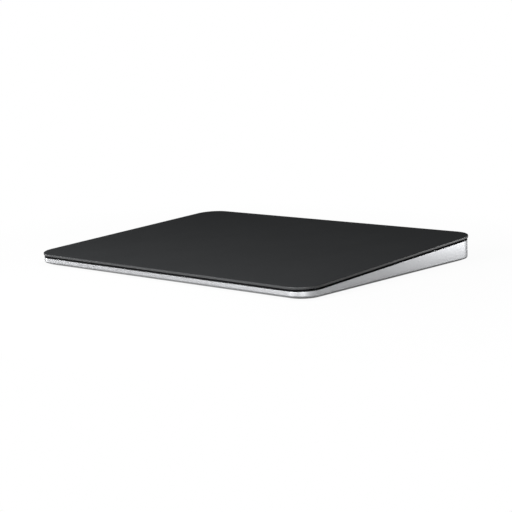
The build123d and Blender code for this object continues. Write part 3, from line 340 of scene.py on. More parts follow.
# The finish of each of the record's material slots.
FINISHES = {
    # Silver anodised aluminium, blasted with fine glass beads before it was anodised. The blasting breaks
    # every reflection into a soft even glow with no sharp edge. Its real grit is near 0.1 mm, too fine to
    # show, so it is drawn three times as coarse.
    "anodised_aluminium": Finish(
        "bead_blasted_anodised_aluminium", "#b7b8ba", "#b4b5b7", roughness=0.40, roughness_spread=0.03,
        cloud=9.0, grain=0.3, relief=0.002, metallic=1.0,
    ),
    # Acid-etched cover glass, printed black from behind. The etch scatters nearly all that it reflects, so
    # the plate looks like satin ink. The etch is some hundredths of a millimetre, so it is drawn coarser.
    "black_glass": Finish(
        "acid_etched_black_glass", "#353637", "#313233", roughness=0.62, roughness_spread=0.04,
        cloud=14.0, grain=0.35, relief=0.003, gloss=0.02,
    ),
    # Foamed silicone, skinned black: a dead matte line under the glass.
    "black_gasket": Finish(
        "foamed_black_silicone", "#0d0d0e", "#121213", roughness=0.85, roughness_spread=0.08,
        grain=0.25, relief=0.03, ior=1.43, gloss=0.25,
    ),
    # Moulded silicone rubber: charcoal, with the soft bloom of a part taken from a fine-textured mould.
    "foot_rubber": Finish(
        "moulded_charcoal_silicone", "#35363a", "#2e2f32", roughness=0.70, roughness_spread=0.08,
        grain=0.3, relief=0.015, ior=1.43,
    ),
    # Rolled sheet aluminium with long faint scratches, coloured black as painted shade in the gap under the
    # glass.
    "sheet_aluminium": Finish(
        "sheet_blackened_as_gap_shade", "#2a2b2d", "#232426", roughness=0.42, roughness_spread=0.12,
        cloud=20.0, grain=0.5, relief=0.006, metallic=1.0, stretch=(0.04, 1.0, 1.0),
    ),
    # Acrylic transfer tape: milky, with a wet-looking face.
    "adhesive_film": Finish(
        "acrylic_transfer_tape", "#d9d6c8", "#cfccbd", roughness=0.30, roughness_spread=0.08,
        cloud=7.0, relief=0.02, ior=1.47,
    ),
    # Epoxy-glass board under dark green solder mask, paler where copper runs below it.
    "circuit_board": BoardFinish(
        "solder_masked_epoxy_glass", "#1d5138", "#194631", roughness=0.34, roughness_spread=0.06,
        relief=0.01, ior=1.53, track_colour="#123626",
    ),
    # Polyimide film with copper tracks laminated into it: amber, banded by the tracks.
    "flexible_circuit": BandedFinish(
        "polyimide_flex_with_tracks", "#a8691f", "#9a5f1b", roughness=0.32, roughness_spread=0.06,
        relief=0.02, ior=1.7, axis="X", pitch=0.8, band_colour="#6f4212",
    ),
    # Transfer-moulded epoxy round a chip: near black, with a fine sparked texture.
    "chip_resin": Finish(
        "transfer_moulded_epoxy", "#1b1b1d", "#222225", roughness=0.52, roughness_spread=0.06,
        grain=0.12, relief=0.01, ior=1.55,
    ),
    # Pressed and sintered ferrite: dull grey-black and slightly pitted.
    "ferrite": Finish(
        "sintered_ferrite", "#3b3b3e", "#2f2f32", roughness=0.62, roughness_spread=0.1,
        grain=0.2, relief=0.02, ior=2.2,
    ),
    # Fired ceramic capacitor bodies: warm tan with a faint speckle.
    "ceramic": Finish(
        "fired_ceramic", "#a98b66", "#97794f", roughness=0.42, roughness_spread=0.06,
        cloud=0.5, grain=0.15, relief=0.005,
    ),
    # Drawn steel with a bright nickel plate, as on connector shells and shield cans.
    "shield_steel": Finish(
        "nickel_plated_drawn_steel", "#b4b3b0", "#a5a4a1", roughness=0.26, roughness_spread=0.08,
        cloud=4.0, grain=0.5, relief=0.004, metallic=1.0,
    ),
    # Glass-filled nylon, injection moulded: matte black with a faint flow pattern.
    "black_plastic": Finish(
        "injection_moulded_glass_filled_nylon", "#151517", "#1b1b1e", roughness=0.5, roughness_spread=0.08,
        grain=0.25, relief=0.012, ior=1.53,
    ),
    # Hard gold over nickel on spring contacts: warm and bright.
    "gold_contacts": Finish(
        "hard_gold_plating", "#dcb25a", "#cfa24c", roughness=0.22, roughness_spread=0.05,
        cloud=1.0, grain=0.2, relief=0.002, metallic=1.0,
    ),
    # Printed polyester tab: flat signal green.
    "on_tab_green": Finish(
        "printed_green_polyester", "#3fae49", "#38a242", roughness=0.45, roughness_spread=0.05,
        relief=0.004, ior=1.57,
    ),
    # Turned steel screws with a clear zinc plate: cool and fairly bright.
    "screw_steel": Finish(
        "zinc_plated_turned_steel", "#a3a6ab", "#8c8f94", roughness=0.3, roughness_spread=0.08,
        cloud=0.8, grain=0.2, relief=0.008, metallic=1.0,
    ),
    # Cold-rolled spring steel: brushed along its length.
    "spring_steel": Finish(
        "cold_rolled_spring_steel", "#8f9195", "#7c7e82", roughness=0.33, roughness_spread=0.1,
        cloud=5.0, grain=0.3, relief=0.006, metallic=1.0, stretch=(1.0, 0.05, 1.0),
    ),
    # Cast silicone gel: smoky and half clear.
    "soft_gel": Finish(
        "cast_silicone_gel", "#6c7077", "#62666d", roughness=0.38, roughness_spread=0.06,
        relief=0.01, ior=1.41, clear=0.35,
    ),
    # Aluminium laminate pouch of the cell: silver with the fine pinch marks of its forming.
    "battery_pouch": Finish(
        "embossed_aluminium_laminate", "#9fa1a5", "#8e9094", roughness=0.42, roughness_spread=0.08,
        cloud=10.0, grain=0.9, relief=0.03, metallic=0.8,
    ),
    # Stacked silicon steel: dark bands, one for each lamination.
    "core_steel": BandedFinish(
        "stacked_silicon_steel", "#6f7276", "#66696d", roughness=0.42, roughness_spread=0.08,
        relief=0.02, metallic=1.0, axis="Z", pitch=0.35, band_colour="#2e3033",
    ),
    # Enamelled copper wire, wound tight: bright bands, darkened along the seams between the turns as painted
    # shade.
    "copper": BandedFinish(
        "enamelled_copper_windings", "#b8673a", "#a85a30", roughness=0.24, roughness_spread=0.05,
        relief=0.05, metallic=1.0, axis="X", pitch=0.3, band_colour="#4a2111",
    ),
    # Extruded fluoropolymer jacket of the coaxial lead: smooth black with a wet line of light.
    "coax_jacket": Finish(
        "extruded_fluoropolymer_jacket", "#1c1c1e", "#18181a", roughness=0.28, roughness_spread=0.05,
        relief=0.004, ior=1.35,
    ),
    # Stamped bronze with a gold flash on the coaxial plug: pale brass colour.
    "plug_metal": Finish(
        "gold_flashed_bronze", "#cdb277", "#bda367", roughness=0.28, roughness_spread=0.06,
        cloud=0.8, grain=0.2, relief=0.004, metallic=1.0,
    ),
}

# The cover glass where its edge is ground and left uncoated: darker than the etched face, and glossier.
GROUND_EDGE = Finish(
    "ground_glass_edge", "#242526", "#212223", roughness=0.40, roughness_spread=0.05,
    cloud=5.0, grain=0.3, relief=0.004, gloss=0.6,
)


UP = Vector((0, 0, 1))
DOWN = Vector((0, 0, -1))
BACK = Vector((0, 1, 0))
FRONT = Vector((0, -1, 0))
RIGHT = Vector((1, 0, 0))


@dataclass
class Deck:
    """The sloping frame of the top face: its origin is the middle of that face, and its Z is square to it."""

    width: float = 160.0
    depth: float = 114.9
    front_height: float = 4.9
    rear_height: float = 10.9
    corner: float = 10.0

    @property
    def slope(self) -> float:
        """The tilt of the top face, in radians."""
        return math.atan2(self.rear_height - self.front_height, self.depth)

    @property
    def length(self) -> float:
        """The depth of the top face, measured along the slope."""
        return self.depth / math.cos(self.slope)

    def matrix(self, level: float) -> Matrix:
        """The place of a level of the deck, as a matrix in metres."""
        middle = Matrix.Translation((0, 0, (self.front_height + self.rear_height) / 2 * MM))
        return middle @ Matrix.Rotation(self.slope, 4, "X") @ Matrix.Translation((0, 0, level * MM))


class FinishShop:
    """Makes each finish's material once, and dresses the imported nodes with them."""

    def __init__(self) -> None:
        """Starts with no material made."""
        self.made: dict[str, Material] = {}

    def material(self, finish: Finish) -> Material:
        """The material of a finish, made at its first use."""
        if finish.name not in self.made:
            self.made[finish.name] = finish.material()
        return self.made[finish.name]

    def dress_nodes(self, nodes: dict[str, Object]) -> int:
        """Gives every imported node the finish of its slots.

        Args:
            nodes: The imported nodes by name.

        Returns:
            How many slots were dressed.
        """
        dressed = 0
        for node in nodes.values():
            for place in node.material_slots:
                place.material = self.material(FINISHES[place.material.name.split(".")[0]])
                dressed += 1
        return dressed


class Workpiece:
    """A mesh that is modelled step by step with Blender's operators, in millimetres."""

    def __init__(self, name: str) -> None:
        """Takes the name of the piece to come."""
        self.name = name
        self.item: Object

    def settle(self) -> "Workpiece":
        """Names the new primitive and puts its place and size into its mesh."""
        self.item = bpy.context.object
        self.item.name = self.name
        self.item.data.name = self.name
        bpy.ops.object.transform_apply(location=True, rotation=True, scale=True)
        return self

    def block(self, low: Vector, high: Vector) -> "Workpiece":
        """Starts from a box between two corners."""
        bpy.ops.object.select_all(action="DESELECT")
        bpy.ops.mesh.primitive_cube_add(size=1.0, location=(low + high) / 2 * MM, scale=(high - low) * MM)
        return self.settle()

    def disc(self, centre: Vector, radius: float, height: float, sides: int) -> "Workpiece":
        """Starts from an upright cylinder about its middle point."""
        bpy.ops.object.select_all(action="DESELECT")
        bpy.ops.mesh.primitive_cylinder_add(
            vertices=sides, radius=radius * MM, depth=height * MM, location=centre * MM
        )
        return self.settle()

    def choose(self) -> None:
        """Selects the piece alone."""
        bpy.ops.object.select_all(action="DESELECT")
        self.item.select_set(True)
        bpy.context.view_layer.objects.active = self.item

    def enter(self) -> None:
        """Opens the mesh for editing, alone."""
        self.choose()
        bpy.ops.object.mode_set(mode="EDIT")

    def leave(self) -> None:
        """Closes the mesh."""
        bpy.ops.object.mode_set(mode="OBJECT")

    def pick(self, kind: Pick, rule: Rule) -> None:
        """Selects the faces or edges that a rule accepts, in the open mesh.

        Args:
            kind: What the rule is asked about.
            rule: Takes the centre in millimetres, and a face's normal or an edge's direction.
        """
        bpy.ops.mesh.select_mode(type=kind.value)
        bpy.ops.mesh.select_all(action="DESELECT")
        mesh = bmesh.from_edit_mesh(self.item.data)
        for part in mesh.faces if kind is Pick.FACE else mesh.edges:
            if kind is Pick.FACE:
                centre, along = part.calc_center_median(), part.normal
            else:
                first, second = (v.co for v in part.verts)
                centre, along = (first + second) / 2, (second - first).normalized()
            if rule(centre / MM, along):
                part.select_set(True)
        mesh.select_flush_mode()
        bmesh.update_edit_mesh(self.item.data)

    def bevel(self, width: float, segments: int) -> None:
        """Rounds the picked edges."""
        bpy.ops.mesh.bevel(offset=width * MM, segments=segments, affect="EDGES", clamp_overlap=False)

    def round_edges(self, rule: Rule, width: float, segments: int) -> None:
        """Rounds the edges that a rule accepts."""
        self.pick(Pick.EDGE, rule)
        self.bevel(width, segments)

    def round_outline(self, way: Vector, width: float, segments: int) -> None:
        """Rounds the edges round the faces that look one way."""
        self.pick(Pick.FACE, facing(way))
        bpy.ops.mesh.region_to_loop()
        self.bevel(width, segments)

    def inset(self, margin: float) -> None:
        """Draws the picked faces in from their outline."""
        bpy.ops.mesh.inset(thickness=margin * MM, use_even_offset=True)

    def extrude(self, move: Vector) -> None:
        """Pulls the picked faces out along a move."""
        bpy.ops.mesh.extrude_region_move(TRANSFORM_OT_translate={"value": move * MM})

    def flatten(self, height: float) -> None:
        """Presses what is picked flat, at a height."""
        bpy.ops.transform.resize(value=(1.0, 1.0, 0.0), center_override=(0.0, 0.0, height * MM))

    def slice(self, point: Vector, normal: Vector, cut_off: bool) -> None:
        """Cuts the whole mesh along a plane.

        Args:
            point: A point on the plane.
            normal: The plane's direction.
            cut_off: Whether what lies beyond the plane is taken away and the cut closed.
        """
        bpy.ops.mesh.select_all(action="SELECT")
        bpy.ops.mesh.bisect(plane_co=point * MM, plane_no=normal, use_fill=cut_off, clear_outer=cut_off)

    def modify(self, kind: str, **settings: Any) -> None:
        """Adds a modifier and applies it.

        Args:
            kind: The modifier's type.
            settings: Its settings.
        """
        modifier = self.item.modifiers.new(kind.lower(), kind)
        for key, value in settings.items():
            setattr(modifier, key, value)
        bpy.context.view_layer.objects.active = self.item
        bpy.ops.object.modifier_apply(modifier=modifier.name)

    def cut(self, tool: "Workpiece") -> None:
        """Takes another workpiece's shape out of this one, and uses the other up."""
        self.modify("BOOLEAN", operation="DIFFERENCE", object=tool.item, solver="EXACT")
        bpy.data.objects.remove(tool.item)

    def weld(self, part: "Workpiece") -> None:
        """Makes another workpiece, sunk into this one, part of this one."""
        self.modify("BOOLEAN", operation="UNION", object=part.item, solver="EXACT")
        bpy.data.objects.remove(part.item)

    def tilt(self, deck: Deck, level: float) -> None:
        """Lays the piece, drawn flat about the origin, at a level of the sloping deck."""
        self.choose()
        self.item.matrix_world = deck.matrix(level)
        bpy.ops.object.transform_apply(location=True, rotation=True, scale=True)

    def finish(self, shop: FinishShop, body: Body, slot: str, node: str, *others: Finish) -> None:
        """Smooths the piece, dresses it and hands it to its body.

        Args:
            shop: Where the materials are made.
            body: The body that carries it.
            slot: The record's material slot, whose finish it gets.
            node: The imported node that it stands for.
            others: More finishes, in order, for a piece that has several.
        """
        self.dress(shop, slot, node, *others)
        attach(self.item, body.value)
        LOG.info("%s: %d faces on %s", self.name, len(self.item.data.polygons), body.value)

    def dress(self, shop: FinishShop, slot: str, node: str, *others: Finish) -> None:
        """Smooths the piece and gives it its materials, and no body yet.

        Args:
            shop: Where the materials are made.
            slot: The record's material slot, whose finish it gets.
            node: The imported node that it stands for.
            others: More finishes, in order, for a piece that has several.
        """
        self.enter()
        bpy.ops.mesh.select_all(action="SELECT")
        bpy.ops.mesh.remove_doubles(threshold=WELD_DISTANCE * MM)
        bpy.ops.mesh.normals_make_consistent(inside=False)
        self.leave()
        bpy.ops.object.shade_smooth_by_angle(angle=math.radians(SMOOTH_ANGLE))
        self.modify("WEIGHTED_NORMAL", keep_sharp=True, weight=FLAT_FACE_WEIGHT)
        places = self.item.data.materials
        for index, finish in enumerate((FINISHES[slot], *others)):
            if index == len(places):
                places.append(None)
            places[index] = shop.material(finish)
        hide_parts(node)


def upright(_centre: Vector, along: Vector) -> bool:
    """Accepts edges that stand upright."""
    return abs(along.z) > SAME_WAY


def front_to_back(_centre: Vector, along: Vector) -> bool:
    """Accepts edges that run from front to back."""
    return abs(along.y) > SAME_WAY


def facing(direction: Vector) -> Rule:
    """A rule that accepts faces looking a given way.

    Args:
        direction: The way that the faces look.

    Returns:
        The rule.
    """
    return lambda _centre, normal: normal.dot(direction) > SAME_WAY


@dataclass
class GlassPlate:
    """The black glass that is pressed and stroked, with a rounded upper edge and a ground rim."""

    deck: Deck
    thickness: float = 1.0
    top_round: float = 0.22
    bottom_chamfer: float = 0.12
    corner_steps: int = 24
    edge_steps: int = 5
    chamfer_steps: int = 2
    rim_normals: tuple[float, float] = (-0.9, 0.35)

    def build(self, shop: FinishShop) -> None:
        """Models the plate and its rim.

        Args:
            shop: Where the materials are made.
        """
        deck = self.deck
        half = Vector((deck.width / 2, deck.length / 2, 0))
        piece = Workpiece("glass_plate").block(-half - Vector((0, 0, self.thickness)), half)
        piece.enter()
        piece.round_edges(upright, deck.corner, self.corner_steps)
        piece.round_outline(UP, self.top_round, self.edge_steps)
        piece.round_outline(DOWN, self.bottom_chamfer, self.chamfer_steps)
        piece.leave()
        self.paint_rim(piece)
        piece.tilt(deck, 0.0)
        piece.finish(shop, Body.PLATE, "black_glass", "touch_glass", GROUND_EDGE)

    def paint_rim(self, piece: Workpiece) -> None:
        """Gives the second slot to the ground faces of the rim."""
        lowest, highest = self.rim_normals
        for _place in ("etched face", "ground rim"):
            piece.item.data.materials.append(None)
        for face in piece.item.data.polygons:
            face.material_index = int(lowest < face.normal.z < highest)


@dataclass
class RimGasket:
    """The soft black ring on the rim of the tray, under the edge of the glass."""

    deck: Deck
    level: float = -1.95
    height: float = 0.25
    margin: float = 0.5
    width: float = 1.0
    edge_round: float = 0.08
    corner_steps: int = 16
    edge_steps: int = 3
    hub_half: float = 1.0

    def build(self, shop: FinishShop) -> None:
        """Models the ring.

        Args:
            shop: Where the material is made.
        """
        half = Vector((self.deck.width / 2 - self.margin, self.deck.length / 2 - self.margin, 0))
        piece = Workpiece("rim_ring").block(-half, half + Vector((0, 0, self.height)))
        piece.enter()
        piece.round_edges(upright, self.deck.corner - self.margin, self.corner_steps)
        for way in (UP, DOWN):
            piece.pick(Pick.FACE, facing(way))
            piece.inset(self.width)
        piece.pick(Pick.FACE, self.in_hub)
        bpy.ops.mesh.delete(type="ONLY_FACE")
        bpy.ops.mesh.select_mode(type="EDGE")
        bpy.ops.mesh.select_all(action="DESELECT")
        bpy.ops.mesh.select_non_manifold()
        bpy.ops.mesh.bridge_edge_loops()
        piece.round_outline(UP, self.edge_round, self.edge_steps)
        piece.leave()
        piece.tilt(self.deck, self.level)
        piece.finish(shop, Body.CASE, "black_gasket", "rim_gasket")

    def in_hub(self, centre: Vector, normal: Vector) -> bool:
        """Accepts the level faces that the ring leaves open."""
        return abs(normal.z) > SAME_WAY and max(abs(centre.x), abs(centre.y)) < self.hub_half


@dataclass
class WallOpening:
    """A round-ended opening through the rear wall of the tray, with a chamfered mouth."""

    name: str
    x: float
    length: float
    height: float
    mouth: float
    middle: float = 4.9
    overrun: float = 2.0
    end_steps: int = 16

    def tool(self, wall_inside: float, wall_outside: float) -> Workpiece:
        """Models the shape to cut away.

        Args:
            wall_inside: Y of the wall's inner face.
            wall_outside: Y of the wall's outer face.

        Returns:
            The cutter.
        """
        half = Vector((self.length / 2, 0, self.height / 2))
        low = Vector((self.x, wall_inside - self.overrun, self.middle)) - half
        high = Vector((self.x, wall_outside - self.mouth, self.middle)) + half
        piece = Workpiece(self.name).block(low, high)
        piece.enter()
        piece.round_edges(front_to_back, self.height / 2 * HALF_ROUND, self.end_steps)
        piece.pick(Pick.FACE, facing(BACK))
        reach = self.mouth + self.overrun
        piece.extrude(Vector((0, reach, 0)))
        grow = 2 * reach
        bpy.ops.transform.resize(
            value=((self.length + grow) / self.length, 1.0, (self.height + grow) / self.height),
            center_override=Vector((self.x, 0, self.middle)) * MM,
        )
        piece.leave()
        return piece


@dataclass
class TrayInside:
    """What stands on the floor of the tray: tapped bosses and bars, pads for the beams, a fence and ribs.

    Each is sunk into the floor. Places are X and Y, and heights are those above the desk.
    """

    deck: Deck
    sunk_to: float = 1.15
    tap: float = 0.63
    edge: float = 0.12
    edge_steps: int = 2
    sides: int = 48
    boss_radius: float = 1.9
    boss_top: float = 2.47
    boss_places: tuple[tuple[float, float], ...] = (
        (-48.7, 40.85),
        (-48.7, 51.35),
        (42.6, 40.85),
        (42.6, 51.35),
        (-6.62, 51.35),
        (6.62, 51.35),
    )
    switch_boss_radius: float = 1.8
    switch_boss_top: float = 2.7
    switch_boss_places: tuple[tuple[float, float], ...] = ((-68.4, 53.25), (-55.0, 53.25))
    bar_x: tuple[float, float] = (-14.625, -0.225)
    bar_y: tuple[tuple[float, float], ...] = ((-27.15, -23.75), (5.25, 8.65))
    bar_top: float = 1.95
    bar_tap_x: tuple[float, float] = (-12.925, -3.625)
    bar_tap_share: float = 0.9
    pad_x: tuple[float, float] = (65.9, 76.9)
    pad_y: tuple[tuple[float, float], ...] = ((-50.05, -42.05), (38.05, 46.05))
    pad_level: float = -2.9
    pad_tap_x: tuple[float, float] = (68.2, 74.6)
    pad_tap_depth: float = 1.3
    fence_x: tuple[float, float] = (-60.8, 60.8)
    fence_y: tuple[float, float] = (10.85, 35.65)
    fence_wall: float = 1.0
    fence_top: float = 2.85
    rib_half: float = 60.4
    rib_width: float = 1.2
    rib_top: float = 2.0
    rib_y: tuple[float, ...] = (-45.551, -39.4405, -33.33)

    def build(self, tray: Workpiece) -> None:
        """Models each feature and welds it into the tray.

        Args:
            tray: The tray, closed.
        """
        for x, y in self.boss_places:
            tray.weld(self.boss(x, y, self.boss_radius, self.boss_top))
        for x, y in self.switch_boss_places:
            tray.weld(self.boss(x, y, self.switch_boss_radius, self.switch_boss_top))
        for front, rear in self.bar_y:
            tray.weld(self.bar(front, rear))
        for front, rear in self.pad_y:
            for side in (-1, 1):
                tray.weld(self.pad(side, front, rear))
        tray.weld(self.fence())
        half = self.rib_width / 2
        for y in self.rib_y:
            low = Vector((-self.rib_half, y - half, self.sunk_to))
            high = Vector((self.rib_half, y + half, self.rib_top))
            tray.weld(self.raised(low, high))

    def raised(self, low: Vector, high: Vector) -> Workpiece:
        """Models a block with a softened top.

        Args:
            low: Its lowest corner.
            high: Its highest corner.

        Returns:
            The block, closed.
        """
        piece = Workpiece("raised").block(low, high)
        piece.enter()
        piece.round_outline(UP, self.edge, self.edge_steps)
        piece.leave()
        return piece

    def boss(self, x: float, y: float, radius: float, top: float) -> Workpiece:
        """Models a round boss with a tapped hole.

        Args:
            x: X of its axis.
            y: Y of its axis.
            radius: Its radius.
            top: Its height.

        Returns:
            The boss, closed.
        """
        middle = Vector((x, y, (self.sunk_to + top) / 2))
        piece = Workpiece("boss").disc(middle, radius, top - self.sunk_to, self.sides)
        piece.enter()
        piece.round_outline(UP, self.edge, self.edge_steps)
        piece.pick(Pick.FACE, facing(UP))
        piece.inset(radius - self.edge - self.tap)
        piece.extrude(DOWN * (top - self.sunk_to - self.edge))
        piece.leave()
        return piece

    def bored(self, piece: Workpiece, places: list[tuple[float, float]], top: float, depth: float) -> None:
        """Taps holes into a feature from its top.

        Args:
            piece: The feature, closed.
            places: X and Y of each hole.
            top: Height of the face that the holes start from.
            depth: How deep they go.
        """
        for x, y in places:
            piece.cut(Workpiece("tap_cutter").disc(Vector((x, y, top)), self.tap, 2 * depth, self.sides))

    def bar(self, front: float, rear: float) -> Workpiece:
        """Models a bar under the electromagnet's frame, with its two tapped holes."""
        left, right = self.bar_x
        piece = self.raised(Vector((left, front, self.sunk_to)), Vector((right, rear, self.bar_top)))
        middle = (front + rear) / 2
        depth = (self.bar_top - self.sunk_to) * self.bar_tap_share
        self.bored(piece, [(x, middle) for x in self.bar_tap_x], self.bar_top, depth)
        return piece

    def pad(self, side: int, front: float, rear: float) -> Workpiece:
        """Models a pad under the fixed end of a force beam, with its top parallel to the glass.

        Args:
            side: -1 on the left and 1 on the right.
            front: Its front, measured along the slope.
            rear: Its rear, measured along the slope.

        Returns:
            The pad, closed.
        """
        left, right = sorted(side * x for x in self.pad_x)
        reach = 2 * self.deck.rear_height
        piece = self.raised(Vector((left, front, -reach)), Vector((right, rear, 0)))
        middle = (front + rear) / 2
        self.bored(piece, [(side * x, middle) for x in self.pad_tap_x], 0.0, self.pad_tap_depth)
        piece.tilt(self.deck, self.pad_level)
        piece.enter()
        piece.slice(Vector((0, 0, self.sunk_to)), DOWN, True)
        piece.leave()
        return piece

    def fence(self) -> Workpiece:
        """Models the low fence round the battery, open where the lead leaves."""
        (left, right), (front, rear) = self.fence_x, self.fence_y
        wall = Vector((self.fence_wall, self.fence_wall, 0))
        low, high = Vector((left, front, self.sunk_to)), Vector((right, rear, self.fence_top))
        piece = Workpiece("fence").block(low - Vector((0, self.fence_wall, 0)), high + wall)
        piece.cut(Workpiece("fence_cutter").block(low - RIGHT - UP, high + UP))
        piece.enter()
        piece.round_outline(UP, self.edge, self.edge_steps)
        piece.leave()
        return piece


@dataclass
class ForceBeams:
    """The four steel strips that carry the plate, each screwed down at one end and bending at its neck.

    They are drawn flat at their level of the deck: X is the object's, and Y is measured along the slope.
    """

    deck: Deck
    level: float = -2.9
    thickness: float = 0.3
    middle_x: float = 71.4
    pad_half: float = 5.5
    neck_half: float = 2.5
    fixed_length: float = 8.0
    neck_length: float = 8.0
    moving_length: float = 7.0
    front_end: float = -50.05
    rear_end: float = 46.05
    corner: float = 1.0
    corner_steps: int = 6
    hole_radius: float = 0.75
    hole_reach: float = 3.2
    hole_sides: int = 32
    neck_steps: int = 8

    def build(self, shop: FinishShop) -> None:
        """Models each beam and lays it at its level of the deck.

        Args:
            shop: Where the material is made.
        """
        for column, x in (("left", -self.middle_x), ("right", self.middle_x)):
            for row, end, way in (("front", self.front_end, 1), ("rear", self.rear_end, -1)):
                fixed = end + way * self.fixed_length
                moving = fixed + way * self.neck_length
                piece = self.strip(x, (end, fixed, moving, moving + way * self.moving_length))
                piece.tilt(self.deck, self.level)
                node = f"force_beam_{row}_{column}"
                piece.dress(shop, "spring_steel", node)
                place = self.deck.matrix(self.level)
                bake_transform(piece.item)
                LOG.info("%s: %d faces, bending", node, len(piece.item.data.polygons))

    def strip(self, x: float, stations: tuple[float, float, float, float]) -> Workpiece:
        """Models one beam, lying flat.

        Args:
            x: X of its middle line.
            stations: Y of its fixed end, of both ends of its neck, and of its moving end.

        Returns:
            The beam, closed.
        """
        end, fixed, moving, tip = stations
        low = Vector((x - self.neck_half, min(end, tip), 0))
        high = Vector((x + self.neck_half, max(end, tip), self.thickness))
        piece = Workpiece("force_beam_strip").block(low, high)
        piece.enter()
        for y in (fixed, moving):
            piece.slice(Vector((x, y, 0)), BACK, False)
        middle = (fixed + moving) / 2
        for way in (RIGHT, -RIGHT):
            piece.pick(Pick.FACE, self.beside(way, middle))
            piece.extrude(way * (self.pad_half - self.neck_half))
        piece.round_edges(self.at_corner(x, middle), self.corner, self.corner_steps)
        for step in range(self.neck_steps):
            share = (2 * step + 1) / (2 * self.neck_steps)
            piece.slice(Vector((x, fixed + (moving - fixed) * share, 0)), BACK, False)
        piece.leave()
        for reach in (-self.hole_reach, self.hole_reach):
            place = Vector((x + reach, (end + fixed) / 2, self.thickness / 2))
            cutter = Workpiece("hole_cutter")
            piece.cut(cutter.disc(place, self.hole_radius, 2 * self.thickness, self.hole_sides))
        return piece

    def beside(self, way: Vector, middle: float) -> Rule:
        """A rule that accepts a pad's side faces on one side, and not the neck's."""
        looking = facing(way)
        half = self.neck_length / 2
        return lambda centre, normal: looking(centre, normal) and abs(centre.y - middle) > half

    def at_corner(self, x: float, middle: float) -> Rule:
        """A rule that accepts the upright edges at the pads' outer corners and where the neck meets them."""

        def corner(centre: Vector, along: Vector) -> bool:
            """Tells the corners from the edges inside a flat face."""
            outer = abs(centre.x - x) > (self.pad_half + self.neck_half) / 2
            at_neck = abs(abs(centre.y - middle) - self.neck_length / 2) < self.corner / 2
            inner = at_neck and not outer
            return upright(centre, along) and (outer or inner)

        return corner


FEET = ("foot_front_left", "foot_front_right", "foot_rear_left", "foot_rear_right")


@dataclass
class Tray:
    """The aluminium lower case: wedge-shaped walls, floor, foot pockets and the openings in the rear wall."""

    deck: Deck
    rim_level: float = -1.95
    corner: float = 9.7
    wall: float = 1.6
    floor: float = 1.0
    bottom_round: float = 0.9
    rim_chamfer: float = 0.05
    corner_steps: int = 24
    chamfer_steps: int = 2
    round_steps: int = 7
    spare_height: float = 5.0
    first_sink: float = 0.5
    pocket_depth: float = 0.4
    pocket_radius: float = 5.55
    pocket_sides: int = 72
    openings: tuple[WallOpening, ...] = (
        WallOpening("port_cutter", x=0.0, length=9.24, height=3.56, mouth=0.25),
        WallOpening("window_cutter", x=-61.7, length=9.2, height=3.2, mouth=0.2),
    )

    def build(self, shop: FinishShop) -> None:
        """Models the tray.

        Args:
            shop: Where the material is made.
        """
        low, high = box_mm("lower_case")
        piece = Workpiece("tray").block(low, high + UP * self.spare_height)
        piece.enter()
        piece.round_edges(upright, self.corner, self.corner_steps)
        matrix = self.deck.matrix(self.rim_level)
        rim_point = matrix.translation / MM
        rim_normal = (matrix.to_3x3() @ UP).normalized()
        piece.slice(rim_point, rim_normal, True)
        piece.round_outline(rim_normal, self.rim_chamfer, self.chamfer_steps)
        piece.pick(Pick.FACE, facing(rim_normal))
        piece.inset(self.wall - self.rim_chamfer)
        piece.extrude(DOWN * self.first_sink)
        piece.flatten(low.z + self.floor)
        piece.round_outline(DOWN, self.bottom_round, self.round_steps)
        piece.leave()
        for foot in FEET:
            foot_low, foot_high = box_mm(foot)
            middle = (foot_low + foot_high) / 2
            middle.z = low.z
            cutter = Workpiece("pocket_cutter")
            piece.cut(cutter.disc(middle, self.pocket_radius, 2 * self.pocket_depth, self.pocket_sides))
        for opening in self.openings:
            piece.cut(opening.tool(high.y - self.wall, high.y))
        TrayInside(self.deck).build(piece)
        piece.finish(shop, Body.CASE, "anodised_aluminium", "lower_case")


@dataclass
class Feet:
    """Four round rubber feet, rounded where they meet the desk."""

    edge_round: float = 0.3
    edge_steps: int = 5
    sides: int = 96

    def build(self, shop: FinishShop) -> None:
        """Models each foot.

        Args:
            shop: Where the material is made.
        """
        for name in FEET:
            low, high = box_mm(name)
            radius = (high.x - low.x) / 2
            piece = Workpiece(name + "_pad").disc((low + high) / 2, radius, high.z - low.z, self.sides)
            piece.enter()
            piece.round_outline(DOWN, self.edge_round, self.edge_steps)
            piece.leave()
            piece.finish(shop, Body.CASE, "foot_rubber", name)


@dataclass
class ChargePort:
    """The receptacle in the rear wall: a drawn steel shell with a plastic tongue inside."""

    shell_wall: float = 0.3
    back: float = 1.0
    tongue_tip: float = 0.2
    end_steps: int = 20
    tip_steps: int = 4

    def build(self, shop: FinishShop) -> None:
        """Models the shell and the tongue.

        Args:
            shop: Where the materials are made.
        """
        low, high = box_mm("charge_port_shell")
        piece = Workpiece("port_shell").block(low, high)
        piece.enter()
        piece.round_edges(front_to_back, (high.z - low.z) / 2 * HALF_ROUND, self.end_steps)
        piece.pick(Pick.FACE, facing(BACK))
        piece.inset(self.shell_wall)
        piece.extrude(FRONT * (high.y - low.y - self.back))
        piece.leave()
        piece.finish(shop, Body.CASE, "shield_steel", "charge_port_shell")
        low, high = box_mm("charge_port_tongue")
        piece = Workpiece("port_tongue").block(low, high)
        piece.enter()
        piece.round_outline(BACK, self.tongue_tip, self.tip_steps)
        piece.leave()
        piece.finish(shop, Body.CASE, "black_plastic", "charge_port_tongue")


